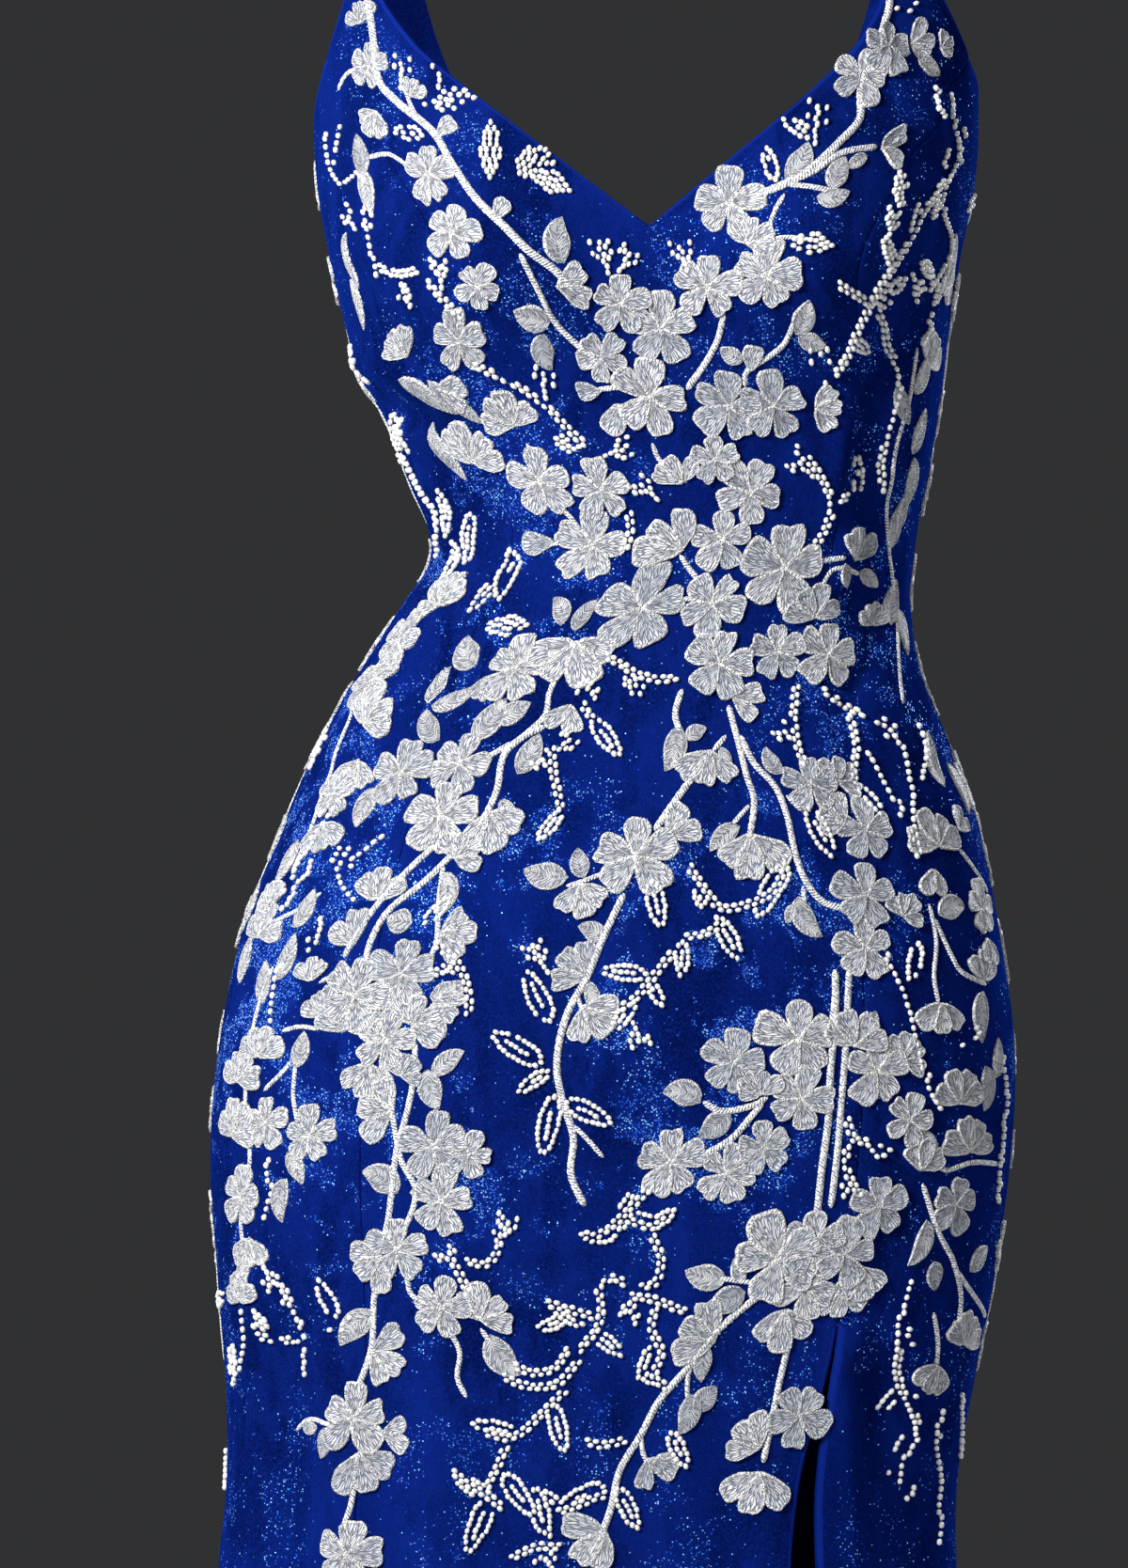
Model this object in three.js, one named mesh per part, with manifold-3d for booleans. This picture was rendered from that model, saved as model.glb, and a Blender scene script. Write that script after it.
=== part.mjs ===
// A mermaid evening dress, worn: seven full-length gores, two shoulder straps and a concealed back zip.
// Millimetres, +Z up. The front of the dress faces -Y, and the wearer's right is -X.
// The origin lies midway between the two straps, level with the tops of the shoulders that carry them.
import * as THREE from "three";
import { mergeVertices } from "three/addons/utils/BufferGeometryUtils.js";
import Module from "manifold-3d";

const wasm = await Module();
wasm.setup();

// Driving dimensions
const CLOTH = 1.6; // satin under glitter net
const SEAM_GAP = 0.3;
const HEM = -1480;
const BODICE_TOP = { right: -113, left: -98 }; // where a narrow strap is sewn to each point of the bodice
const FRONT_V = -228; // the lowest point of the front neckline
const BACK_V = -272; // the lowest point of the back neckline, where the zip starts
const ARMHOLE_SEAM = -150; // where the princess seams run into the armholes
const UNDERARM = { right: -178, left: -163, curve: 0.8 }; // the tops of the side seams, on a wearer who leans
const SLIT_TOP = -716;
const STRAP = { width: 10, thick: 2, steps: 16 };
const ZIP = { bottom: -600, gap: 1.2, tapeTop: BACK_V - 4, tapeHalf: 12, tapeThick: 0.9, sliderDrop: 3 };
const SLIDER = { wide: 6.6, above: 7, below: 3, thick: 1.6, bridgeWide: 1.6, bridgeTop: 6, bar: 1, corner: 1.2 };
const PULL = { wide: 5, long: 15, thick: 1.2, neck: 4.4, eyeWide: 2.6, eyeLong: 2.8, gap: 0.3, bevel: 0.25 };
const CORNER = 0.035; // how far a ring is squarer than an ellipse
const FADE = { form: 0.55, fold: 0.25 }; // the share of a half turn, as a cosine, over which forms and folds fade out

// The outline of the worn dress: how far each ring reaches to the wearer's right and left, forwards and backwards
const RINGS = [
  { z: -60, right: -138, left: 138, front: 50, back: 84 },
  { z: -118, right: -148, left: 147, front: 68, back: 92 },
  { z: -170, right: -151, left: 149, front: 88, back: 98 },
  { z: -208, right: -149, left: 147, front: 99, back: 100 },
  { z: -242, right: -143, left: 140, front: 104, back: 99 },
  { z: -276, right: -135, left: 135, front: 101, back: 96 },
  { z: -295, right: -130, left: 133, front: 98, back: 94 },
  { z: -310, right: -120, left: 131, front: 95, back: 92 },
  { z: -343, right: -107, left: 125, front: 89, back: 86 },
  { z: -362, right: -99, left: 121, front: 86, back: 84 },
  { z: -378, right: -99, left: 119, front: 84, back: 83 },
  { z: -395, right: -110, left: 118, front: 84, back: 84 },
  { z: -428, right: -131, left: 123, front: 87, back: 90 },
  { z: -462, right: -150, left: 137, front: 92, back: 98 },
  { z: -496, right: -165, left: 149, front: 96, back: 105 },
  { z: -547, right: -184, left: 159, front: 100, back: 109 },
  { z: -598, right: -194, left: 165, front: 101, back: 108 },
  { z: -649, right: -197, left: 163, front: 99, back: 104 },
  { z: -700, right: -194, left: 156, front: 96, back: 100 },
  { z: -750, right: -190, left: 146, front: 94, back: 97 },
  { z: -790, right: -190, left: 139, front: 93, back: 95 },
  { z: -830, right: -193, left: 139, front: 92, back: 96 },
  { z: -930, right: -198, left: 146, front: 96, back: 104 },
  { z: -1050, right: -212, left: 166, front: 112, back: 128 },
  { z: -1170, right: -248, left: 206, front: 146, back: 172 },
  { z: -1320, right: -312, left: 272, front: 206, back: 242 },
  { z: -1480, right: -378, left: 336, front: 266, back: 312 },
];

// Rounded forms that stand out from the rings: where they lie, how far they stand out, and how wide and tall they are
const CUPS = [
  { x: -84, z: -250, reach: 33, wide: 50, up: 62, down: 40 },
  { x: 86, z: -240, reach: 33, wide: 50, up: 62, down: 40 },
];
const SEAT = [
  { x: -86, z: -592, reach: 15, wide: 62, up: 90, down: 70 },
  { x: 58, z: -586, reach: 15, wide: 62, up: 90, down: 70 },
];

// The seams, as angles round the rings in degrees: 0 is the centre front, 90 the side and 180 the centre back
const SEAMS = [
  { z: -150, frontRight: -73, frontLeft: 74, backRight: -119, backLeft: 119 },
  { z: -165, frontRight: -64, frontLeft: 64, backRight: -123, backLeft: 123 },
  { z: -196, frontRight: -50, frontLeft: 51, backRight: -131, backLeft: 131 },
  { z: -241, frontRight: -39, frontLeft: 41, backRight: -138, backLeft: 138 },
  { z: -299, frontRight: -41, frontLeft: 43, backRight: -142, backLeft: 142 },
  { z: -384, frontRight: -40, frontLeft: 39, backRight: -144, backLeft: 144 },
  { z: -500, frontRight: -38, frontLeft: 38, backRight: -142, backLeft: 142 },
  { z: -716, frontRight: -37, frontLeft: 36, backRight: -140, backLeft: 140 },
  { z: -1480, frontRight: -38, frontLeft: 36, backRight: -140, backLeft: 140 },
];

// How far the two edges of the slit stand back from their seam, in degrees
const SLIT = [
  { z: -716, front: 0, side: 0 },
  { z: -740, front: 0.4, side: 0.2 },
  { z: -830, front: 4, side: 0.6 },
  { z: -1000, front: 5.5, side: 2.5 },
  { z: -1480, front: 8, side: 7 },
];

// The cut edges of the bodice: the x of the neckline and of the armhole at each height
const FRONT_NECK = [
  { z: -98, right: -126, left: 110 },
  { z: -113, right: -123, left: 108 },
  { z: -123, right: -120, left: 105 },
  { z: -136, right: -112, left: 99 },
  { z: -150, right: -100, left: 89 },
  { z: -165, right: -82, left: 74 },
  { z: -180, right: -63, left: 57 },
  { z: -200, right: -37, left: 33 },
  { z: -228, right: 0, left: 0 },
];
const FRONT_ARM = [
  { z: -98, right: -129, left: 121 },
  { z: -113, right: -134, left: 127 },
  { z: -130, right: -139, left: 136 },
  { z: -150, right: -145, left: 145 },
];
const BACK_NECK = [
  { z: -98, right: -108, left: 108 },
  { z: -150, right: -92, left: 92 },
  { z: -190, right: -68, left: 68 },
  { z: -230, right: -36, left: 36 },
  { z: -272, right: 0, left: 0 },
];
const BACK_ARM = [
  { z: -98, right: -118, left: 118 },
  { z: -125, right: -121, left: 121 },
  { z: -150, right: -130, left: 130 },
];

// A strap's way over the shoulder, from the front to the back: how far out, how far back and how high it runs
const STRAP_PATH = [
  { out: 118, back: -34, z: -62 },
  { out: 107, back: -21, z: -16 },
  { out: 103, back: 2, z: STRAP.thick },
  { out: 102, back: 30, z: -14 },
  { out: 104, back: 52, z: -58 },
];
const SHOULDER_HEART = { out: 78, back: 8, z: -118 }; // the strap's flat side faces away from here

// The heights of the rows of facets: below the underarm, in the side gores' tapered tops, and in the bodice's points
const ROWS = [
  -200, -214, FRONT_V, -243, -258, BACK_V, -287, -299, -312, -328, -345, -362, -380, -398, -416, -440, -468, -500,
  -540, -580, -620, -660, -692, SLIT_TOP, -748, -788, -832, -880, -935, -1000, -1080, -1170, -1270, -1375, HEM,
];
const TOP_ROWS = 3;
const POINT_ROWS = 3;
const COLUMNS = { front: 7, back: 6, sideFrontRight: 6, sideFrontLeft: 7, sideBack: 5 }; // facets across each gore

// The largest folds of the cloth: each runs along a line on the front or the back, and reaches in or out
const FOLDS = [
  { face: "front", x: -150, z: -293, toX: -104, toZ: -313, reach: -5, wide: 7 }, // pinched under the bust
  { face: "front", x: -150, z: -282, toX: -98, toZ: -298, reach: 3, wide: 8 },
  { face: "front", x: -118, z: -330, toX: -70, toZ: -352, reach: -2, wide: 10 },
  { face: "front", x: 106, z: -284, toX: 96, toZ: -352, reach: -3, wide: 9 }, // soft wrinkles at the left waist
  { face: "front", x: 112, z: -352, toX: 92, toZ: -398, reach: -2.5, wide: 9 },
  { face: "front", x: -166, z: -730, toX: -160, toZ: -960, reach: -5, wide: 13 }, // down the right thigh
  { face: "front", x: -138, z: -770, toX: -130, toZ: -980, reach: 4, wide: 15 },
  { face: "front", x: 99, z: -744, toX: 112, toZ: -860, reach: -4, wide: 9 }, // fanning from the top of the slit
  { face: "front", x: 112, z: -742, toX: 142, toZ: -905, reach: -4, wide: 11 },
  { face: "back", x: -70, z: -398, toX: 10, toZ: -410, reach: -3, wide: 9 }, // across the small of the back
  { face: "back", x: -6, z: -424, toX: 66, toZ: -414, reach: -3, wide: 9 },
  { face: "back", x: -140, z: -676, toX: -40, toZ: -690, reach: -3, wide: 12 }, // under the seat
  { face: "back", x: 30, z: -688, toX: 110, toZ: -668, reach: -3, wide: 12 },
];

// The skirt's flutes: the angle of each ridge at the hem, its reach there, its half width and the height it starts at
const FLUTES = [
  { at: 8, reach: 44, wide: 12, from: -960 },
  { at: 55, reach: 54, wide: 11, from: -800 },
  { at: 84, reach: 40, wide: 12, from: -930 },
  { at: 112, reach: 56, wide: 12, from: -900 },
  { at: 141, reach: 44, wide: 12, from: -980 },
  { at: 170, reach: 58, wide: 12, from: -860 },
  { at: 201, reach: 46, wide: 12, from: -940 },
  { at: 231, reach: 56, wide: 12, from: -900 },
  { at: 262, reach: 42, wide: 12, from: -960 },
  { at: 291, reach: 56, wide: 12, from: -780 },
  { at: 318, reach: 38, wide: 11, from: -920 },
  { at: 341, reach: 50, wide: 11, from: -880 },
];

const radians = THREE.MathUtils.degToRad;
const TURN = 1e-3; // small steps in angle and height, for slopes
const DROP = 0.5;

// A smooth curve through one column of a table whose rows run downwards
function through(table, column) {
  const last = table.length - 1;
  const slope = table.map((row, i) => {
    const above = table[Math.max(i - 1, 0)];
    const below = table[Math.min(i + 1, last)];
    return (below[column] - above[column]) / (below.z - above.z);
  });
  return (z) => {
    if (z >= table[0].z) return table[0][column] + slope[0] * (z - table[0].z);
    if (z <= table[last].z) return table[last][column];
    const i = table.findIndex((row) => row.z < z) - 1;
    const [a, b] = [table[i], table[i + 1]];
    const span = b.z - a.z;
    const t = (z - a.z) / span;
    const bend = t * (1 - t) * span;
    const blend = t * t * (3 - 2 * t);
    return a[column] * (1 - blend) + b[column] * blend + bend * (slope[i] * (1 - t) - slope[i + 1] * t);
  };
}

const smooth = (t) => {
  const u = THREE.MathUtils.clamp(t, 0, 1);
  return u * u * (3 - 2 * u);
};

function mound({ x, z, reach, wide, up, down }, atX, atZ) {
  const tall = atZ > z ? up : down;
  return reach * Math.exp(-(((atX - x) / wide) ** 2) - ((atZ - z) / tall) ** 2);
}

// The flutes' reach at an angle in degrees
function flare(degrees, z) {
  let out = 0;
  for (const { at, reach, wide, from } of FLUTES) {
    const away = THREE.MathUtils.euclideanModulo(degrees - at + 180, 360) - 180;
    if (z < from) out += reach * Math.exp(-((away / wide) ** 2)) * ((from - z) / (from - HEM)) ** 1.5;
  }
  return out;
}

// How far the folds of one face reach at a place on it
function creased(face, x, z) {
  let out = 0;
  for (const fold of FOLDS.filter((row) => row.face === face)) {
    const [runX, runZ] = [fold.toX - fold.x, fold.toZ - fold.z];
    const share = ((x - fold.x) * runX + (z - fold.z) * runZ) / (runX ** 2 + runZ ** 2);
    const t = THREE.MathUtils.clamp(share, 0, 1);
    const away = Math.hypot(x - fold.x - t * runX, z - fold.z - t * runZ);
    out += fold.reach * Math.exp(-((away / fold.wide) ** 2));
  }
  return out;
}

// A point of the dress's outer face at an angle and a height
function outerPoint(angle, z) {
  const [s, c] = [Math.sin(angle), Math.cos(angle)];
  const [right, left] = [ring.right(z), ring.left(z)];
  const squarer = 1 + CORNER * (2 * s * c) ** 2;
  const x = (right + left) / 2 + ((left - right) / 2) * s * squarer;
  const y = -(c > 0 ? ring.front(z) : ring.back(z)) * c * squarer;
  const forward = c > 0 ? -1 : 1;
  const form = (c > 0 ? CUPS : SEAT).reduce((sum, part) => sum + mound(part, x, z), 0);
  const folds = creased(c > 0 ? "front" : "back", x, z) * smooth(Math.abs(c) / FADE.fold);
  const out = flare(THREE.MathUtils.radToDeg(angle), z) + folds;
  const deeper = forward * form * smooth(Math.abs(c) / FADE.form);
  return new THREE.Vector3(x + out * s, y - out * c + deeper, z);
}

// The same point moved along the cloth's normal
function offsetPoint(angle, z, lift) {
  const across = outerPoint(angle + TURN, z).sub(outerPoint(angle - TURN, z));
  const up = outerPoint(angle, z + DROP).sub(outerPoint(angle, z - DROP));
  return outerPoint(angle, z).addScaledVector(across.cross(up).normalize(), lift);
}

// The angle at which the front or back of the ring has a given x, by halving the half turn that holds it
function angleOf(x, z, back) {
  let [low, high] = [-Math.PI / 2, Math.PI / 2];
  while (high - low > 1e-7) {
    const middle = (low + high) / 2;
    if (outerPoint(back ? Math.PI - middle : middle, z).x < x) low = middle;
    else high = middle;
  }
  return back ? Math.PI - low : low;
}

// An angle moved round the ring by a distance
function shifted(angle, z, distance) {
  return angle + (distance * TURN) / outerPoint(angle + TURN, z).distanceTo(outerPoint(angle, z));
}

// Curves through the tables' columns, by the columns' names
const curves = (table) =>
  Object.fromEntries(Object.keys(table[0]).filter((key) => key !== "z").map((key) => [key, through(table, key)]));
const ring = curves(RINGS);
const seam = curves(SEAMS);
const slit = curves(SLIT);
const FRONT = { neck: curves(FRONT_NECK), arm: curves(FRONT_ARM), lowest: FRONT_V, seam: "front" };
const BACK = { neck: curves(BACK_NECK), arm: curves(BACK_ARM), lowest: BACK_V, seam: "back" };

// A princess seam's name, and its angle less or plus what the slit takes from that edge
const seamName = (half, side) => half.seam + (side === "left" ? "Left" : "Right");
function seamAngle(name, z, edge) {
  const opened = name === "frontLeft" && z < SLIT_TOP ? (edge === "side" ? 1 : -1) * slit[edge](z) : 0;
  return radians(seam[name](z) + opened);
}

// A closed wall from an open surface: quads of corners that hold their outer and inner points.
// Corners with one key are one corner, and every edge that only one quad uses gets a wall.
function wall(quads) {
  const index = new Map();
  const positions = [];
  const numbered = (corner) => {
    if (!index.has(corner.key)) {
      index.set(corner.key, index.size);
      positions.push(...corner.outer.toArray(), ...corner.inner.toArray());
    }
    return index.get(corner.key) * 2;
  };
  const faces = [];
  const edges = new Map();
  for (const quad of quads) {
    const [a, b, c, d] = quad.map(numbered);
    faces.push(a, b, c, a, c, d, a + 1, c + 1, b + 1, a + 1, d + 1, c + 1);
    for (const [from, to] of [[a, b], [b, c], [c, d], [d, a]]) {
      if (!edges.delete(`${to},${from}`)) edges.set(`${from},${to}`, [from, to]);
    }
  }
  // Each rim face is split from its higher outer corner, so that two pieces' rims stay parallel along a seam
  for (const [from, to] of edges.values()) {
    if (positions[from * 3 + 2] > positions[to * 3 + 2]) faces.push(from, from + 1, to + 1, from, to + 1, to);
    else faces.push(from, from + 1, to, from + 1, to + 1, to);
  }
  const geometry = new THREE.BufferGeometry();
  geometry.setAttribute("position", new THREE.Float32BufferAttribute(positions, 3));
  geometry.setIndex(faces);
  geometry.computeVertexNormals();
  return geometry;
}

// A corner of a gore, from its angle and height
function corner(angle, z, thick = CLOTH, lift = 0) {
  return {
    key: `${angle.toFixed(6)},${z.toFixed(4)}`,
    outer: offsetPoint(angle, z, lift),
    inner: offsetPoint(angle, z, lift - thick),
  };
}

// Quads between rows of corners. Each row runs the way the angles grow, and the rows run downwards.
function quadsOf(rows) {
  const quads = [];
  for (let i = 1; i < rows.length; i++) {
    for (let j = 1; j < rows[i].length; j++) {
      quads.push([rows[i][j - 1], rows[i][j], rows[i - 1][j], rows[i - 1][j - 1]]);
    }
  }
  return quads;
}

// A row of corners between two angles, at one height or at heights that a function gives along the row
function rowOf(from, to, columns, height, options = {}) {
  return Array.from({ length: columns + 1 }, (_, j) => {
    const share = j / columns;
    const z = typeof height === "function" ? height(share) : height;
    return corner(THREE.MathUtils.lerp(from, to, share), z, options.thick, options.lift);
  });
}

// The heights of a gore's rows above the common ones: first up to where the princess seam ends, then to the strap
const topRow = (k, top) => THREE.MathUtils.lerp(ROWS[0], top, k / TOP_ROWS);
const topHeights = Array.from({ length: TOP_ROWS }, (_, k) => topRow(TOP_ROWS - k, ARMHOLE_SEAM));
const pointHeights = (side) =>
  Array.from({ length: POINT_ROWS }, (_, k) => THREE.MathUtils.lerp(BODICE_TOP[side], ARMHOLE_SEAM, k / POINT_ROWS));

// Half of the front or back, between its centre line or neckline and its princess seam or armhole
function halfRows(half, side, columns, centre) {
  const outward = side === "left" ? 1 : -1;
  const isBack = half === BACK;
  const name = seamName(half, side);
  const towardsCentre = isBack ? outward : -outward;
  const lap = name === "backRight" ? 2 * Math.PI : 0; // so that the angles grow past the centre back
  return [...pointHeights(side), ...topHeights, ...ROWS].map((z) => {
    const inner = z > half.lowest ? angleOf(half.neck[side](z), z, isBack) : centre(z);
    const atSeam = () => shifted(seamAngle(name, z, half.seam), z, (towardsCentre * SEAM_GAP) / 2) + lap;
    const outer = z > ARMHOLE_SEAM ? angleOf(half.arm[side](z), z, isBack) : atSeam();
    return towardsCentre > 0 ? rowOf(outer, inner, columns, z) : rowOf(inner, outer, columns, z);
  });
}

// The front's middle corners run from the point of the V to the middle of the rings at the slit
function frontGore() {
  const centreFront = (z) => angleOf(0, z, false) * smooth((z - SLIT_TOP) / (FRONT_V - SLIT_TOP));
  return wall(["right", "left"].flatMap((side) => quadsOf(halfRows(FRONT, side, COLUMNS.front, centreFront))));
}

function backGore(side) {
  const outward = side === "left" ? 1 : -1;
  const centreBack = (z) => shifted(Math.PI, z, (-outward * (z > ZIP.bottom ? ZIP.gap : SEAM_GAP)) / 2);
  return wall(quadsOf(halfRows(BACK, side, COLUMNS.back, centreBack)));
}

// A side gore runs from a princess seam to the side seam, and its top tapers up to the princess seam's end
function sideGore(half, side, columns) {
  const outward = side === "left" ? 1 : -1;
  const towardsSide = half === BACK ? -outward : outward;
  const princess = (z) => shifted(seamAngle(seamName(half, side), z, "side"), z, (towardsSide * SEAM_GAP) / 2);
  const sideSeam = (z) => shifted((outward * Math.PI) / 2, z, (-towardsSide * SEAM_GAP) / 2);
  const [first, last] = towardsSide > 0 ? [princess, sideSeam] : [sideSeam, princess];
  const fromPrincess = (share) => (towardsSide > 0 ? share : 1 - share);
  const top = (share) => THREE.MathUtils.lerp(ARMHOLE_SEAM, UNDERARM[side], fromPrincess(share) ** UNDERARM.curve);
  const tapered = Array.from({ length: TOP_ROWS }, (_, k) => (share) => topRow(TOP_ROWS - k, top(share)));
  const level = ROWS.map((z) => () => z);
  const rows = [...tapered, ...level].map((height) => rowOf(first(height(0)), last(height(1)), columns, height));
  return wall(quadsOf(rows));
}

// A strap from a point of the front, over the shoulder, to the same side's point of the back
function strap(side) {
  const outward = side === "left" ? 1 : -1;
  const start = BODICE_TOP[side] + SEAM_GAP;
  const endRow = (half) => {
    const [a, b] = [half.neck, half.arm].map((edge) => angleOf(edge[side](start), start, half === BACK));
    const corners = [a, (a + b) / 2, b].map((angle) => corner(angle, start, STRAP.thick));
    return side === "left" ? corners : corners.toReversed();
  };
  const [first, last] = [endRow(FRONT), endRow(BACK)];
  const shoulder = ({ out, back, z }) => new THREE.Vector3(out * outward, back, z);
  const path = new THREE.CatmullRomCurve3([first[1].outer, ...STRAP_PATH.map(shoulder), last[1].outer]);
  const heart = shoulder(SHOULDER_HEART);
  const rows = [first];
  for (let i = 1; i < STRAP.steps; i++) {
    const at = path.getPoint(i / STRAP.steps);
    const along = path.getTangent(i / STRAP.steps);
    const out = at.clone().sub(heart);
    out.addScaledVector(along, -out.dot(along)).normalize();
    const across = along.clone().cross(out);
    rows.push(
      [-1, 0, 1].map((place) => {
        const outer = at.clone().addScaledVector(across, (place * STRAP.width) / 2);
        return { key: `${i},${place}`, outer, inner: outer.clone().addScaledVector(out, -STRAP.thick) };
      }),
    );
  }
  rows.push(last);
  return wall(quadsOf(rows).map((quad) => quad.toReversed()));
}

// The zip's tape lies behind the centre back seam
function zipTape() {
  const heights = [ZIP.tapeTop, ...ROWS.filter((z) => z < ZIP.tapeTop && z > ZIP.bottom)];
  const rows = heights.map((z) => {
    const half = shifted(Math.PI, z, ZIP.tapeHalf) - Math.PI;
    return rowOf(Math.PI - half, Math.PI + half, 2, z, { thick: ZIP.tapeThick, lift: -CLOTH - SEAM_GAP });
  });
  return wall(quadsOf(rows));
}

// The zip's slider and pull are placed from the hinge between them, which lies across the centre back
const HINGE_Z = BACK_V - ZIP.sliderDrop - SLIDER.above;
const barRadius = PULL.thick / 2;
const hingeLift = SEAM_GAP + SLIDER.thick + PULL.gap + barRadius;
const hinge = offsetPoint(Math.PI, HINGE_Z, hingeLift);

// A closed solid from a drawn outline that is centred across its thickness
function plate(shape, thick, bevel = 0) {
  const geometry = new THREE.ExtrudeGeometry(shape, {
    depth: thick - 2 * bevel,
    bevelEnabled: bevel > 0,
    bevelThickness: bevel,
    bevelSize: bevel,
    bevelOffset: -bevel,
    bevelSegments: 1,
    curveSegments: 5,
  });
  return geometry.translate(0, 0, bevel - thick / 2);
}

function solid(geometry) {
  const bare = geometry.clone();
  bare.deleteAttribute("normal");
  bare.deleteAttribute("uv");
  const merged = mergeVertices(bare, 1e-4);
  const vertProperties = new Float32Array(merged.attributes.position.array);
  const triVerts = new Uint32Array(merged.index.array);
  return new wasm.Manifold(new wasm.Mesh({ numProp: 3, vertProperties, triVerts }));
}

function geometryOf(manifold) {
  const mesh = manifold.getMesh();
  const geometry = new THREE.BufferGeometry();
  geometry.setAttribute("position", new THREE.BufferAttribute(mesh.vertProperties, 3));
  geometry.setIndex(new THREE.BufferAttribute(mesh.triVerts, 1));
  geometry.computeVertexNormals();
  return geometry;
}

function roundedRectangle(left, bottom, wide, tall, radius) {
  const shape = new THREE.Shape();
  shape.absarc(left + wide - radius, bottom + radius, radius, -Math.PI / 2, 0);
  shape.absarc(left + wide - radius, bottom + tall - radius, radius, 0, Math.PI / 2);
  shape.absarc(left + radius, bottom + tall - radius, radius, Math.PI / 2, Math.PI);
  shape.absarc(left + radius, bottom + radius, radius, Math.PI, 1.5 * Math.PI);
  return shape.closePath();
}

// The slider: a plate along the seam, and a bridge that the pull's bar lies under. Y is up and Z is outwards here.
function sliderGeometry() {
  const face = -PULL.gap - barRadius;
  const { wide, above, below, corner } = SLIDER;
  const outline = roundedRectangle(-wide / 2, -below, wide, above + below, corner);
  const base = plate(outline, SLIDER.thick).translate(0, 0, face - SLIDER.thick / 2);
  const inside = barRadius + PULL.gap;
  const bridgeBottom = -inside - SLIDER.bar;
  const bridge = new THREE.Shape([
    new THREE.Vector2(face - SLIDER.thick / 2, bridgeBottom),
    new THREE.Vector2(inside + SLIDER.bar / 2, bridgeBottom),
    new THREE.Vector2(inside + SLIDER.bar, bridgeBottom + SLIDER.bar / 2),
    new THREE.Vector2(inside + SLIDER.bar, SLIDER.bridgeTop - 1.5 * SLIDER.bar),
    new THREE.Vector2(face - SLIDER.thick / 2, SLIDER.bridgeTop),
  ]);
  bridge.holes.push(
    new THREE.Path([
      new THREE.Vector2(face, -inside),
      new THREE.Vector2(inside, -inside),
      new THREE.Vector2(inside, SLIDER.bridgeTop - 2.6 * SLIDER.bar),
      new THREE.Vector2(face, SLIDER.bridgeTop - 1.8 * SLIDER.bar),
    ]),
  );
  const arch = plate(bridge, SLIDER.bridgeWide).rotateY(-Math.PI / 2);
  return geometryOf(solid(base).add(solid(arch)));
}

// The pull tab: a long drop with an eye below its bar
function pullGeometry() {
  const { wide, long, neck, eyeWide, eyeLong } = PULL;
  const shape = new THREE.Shape();
  const middle = barRadius - long + wide / 2;
  shape.moveTo(neck / 2, barRadius);
  shape.lineTo(-neck / 2, barRadius);
  shape.lineTo(-neck / 2, -eyeLong - barRadius);
  shape.absarc(0, middle, wide / 2, Math.PI, 2 * Math.PI);
  shape.lineTo(neck / 2, -eyeLong - barRadius);
  shape.closePath();
  shape.holes.push(
    new THREE.Path([
      new THREE.Vector2(-eyeWide / 2, -barRadius),
      new THREE.Vector2(-eyeWide / 2, -barRadius - eyeLong),
      new THREE.Vector2(eyeWide / 2, -barRadius - eyeLong),
      new THREE.Vector2(eyeWide / 2, -barRadius),
    ]),
  );
  return plate(shape, PULL.thick, PULL.bevel);
}

// Materials: the outer cloth, the narrow straps cut from it, the zip's tape and its metal
const satin = new THREE.MeshStandardMaterial({ color: 0x0a2a9c, roughness: 0.42, metalness: 0 });
const strapSatin = new THREE.MeshStandardMaterial({ color: 0x0c2ea4, roughness: 0.38, metalness: 0 });
const tapeWeave = new THREE.MeshStandardMaterial({ color: 0x0a1f70, roughness: 0.8, metalness: 0 });
const enamelled = new THREE.MeshStandardMaterial({ color: 0x0d2a94, roughness: 0.35, metalness: 0.6 });

function piece(name, geometry, material) {
  const mesh = new THREE.Mesh(geometry, material);
  mesh.name = name;
  return mesh;
}

const dress = new THREE.Group();
dress.name = "mermaid_evening_dress";
dress.add(piece("front", frontGore(), satin));
for (const side of ["right", "left"]) {
  const columns = side === "left" ? COLUMNS.sideFrontLeft : COLUMNS.sideFrontRight;
  dress.add(piece(`side_front_${side}`, sideGore(FRONT, side, columns), satin));
  dress.add(piece(`side_back_${side}`, sideGore(BACK, side, COLUMNS.sideBack), satin));
  dress.add(piece(`back_${side}`, backGore(side), satin));
  dress.add(piece(`strap_${side}`, strap(side), strapSatin));
}
dress.add(piece("zip_tape", zipTape(), tapeWeave));

const slope = offsetPoint(Math.PI, HINGE_Z + SLIDER.above, 0).sub(offsetPoint(Math.PI, HINGE_Z - SLIDER.below, 0));
const slider = piece("zip_slider", sliderGeometry(), enamelled);
slider.rotation.set(Math.PI / 2 + Math.atan2(slope.y, slope.z), 0, Math.PI, "ZYX");
const pull = piece("zip_pull", pullGeometry(), enamelled);
pull.rotation.set(Math.PI / 2, 0, Math.PI, "ZYX");
for (const fitting of [slider, pull]) {
  fitting.position.copy(hinge);
  dress.add(fitting);
}

export default dress;
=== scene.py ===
"""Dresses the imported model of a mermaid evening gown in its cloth, embroidery, beads and zip."""

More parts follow.
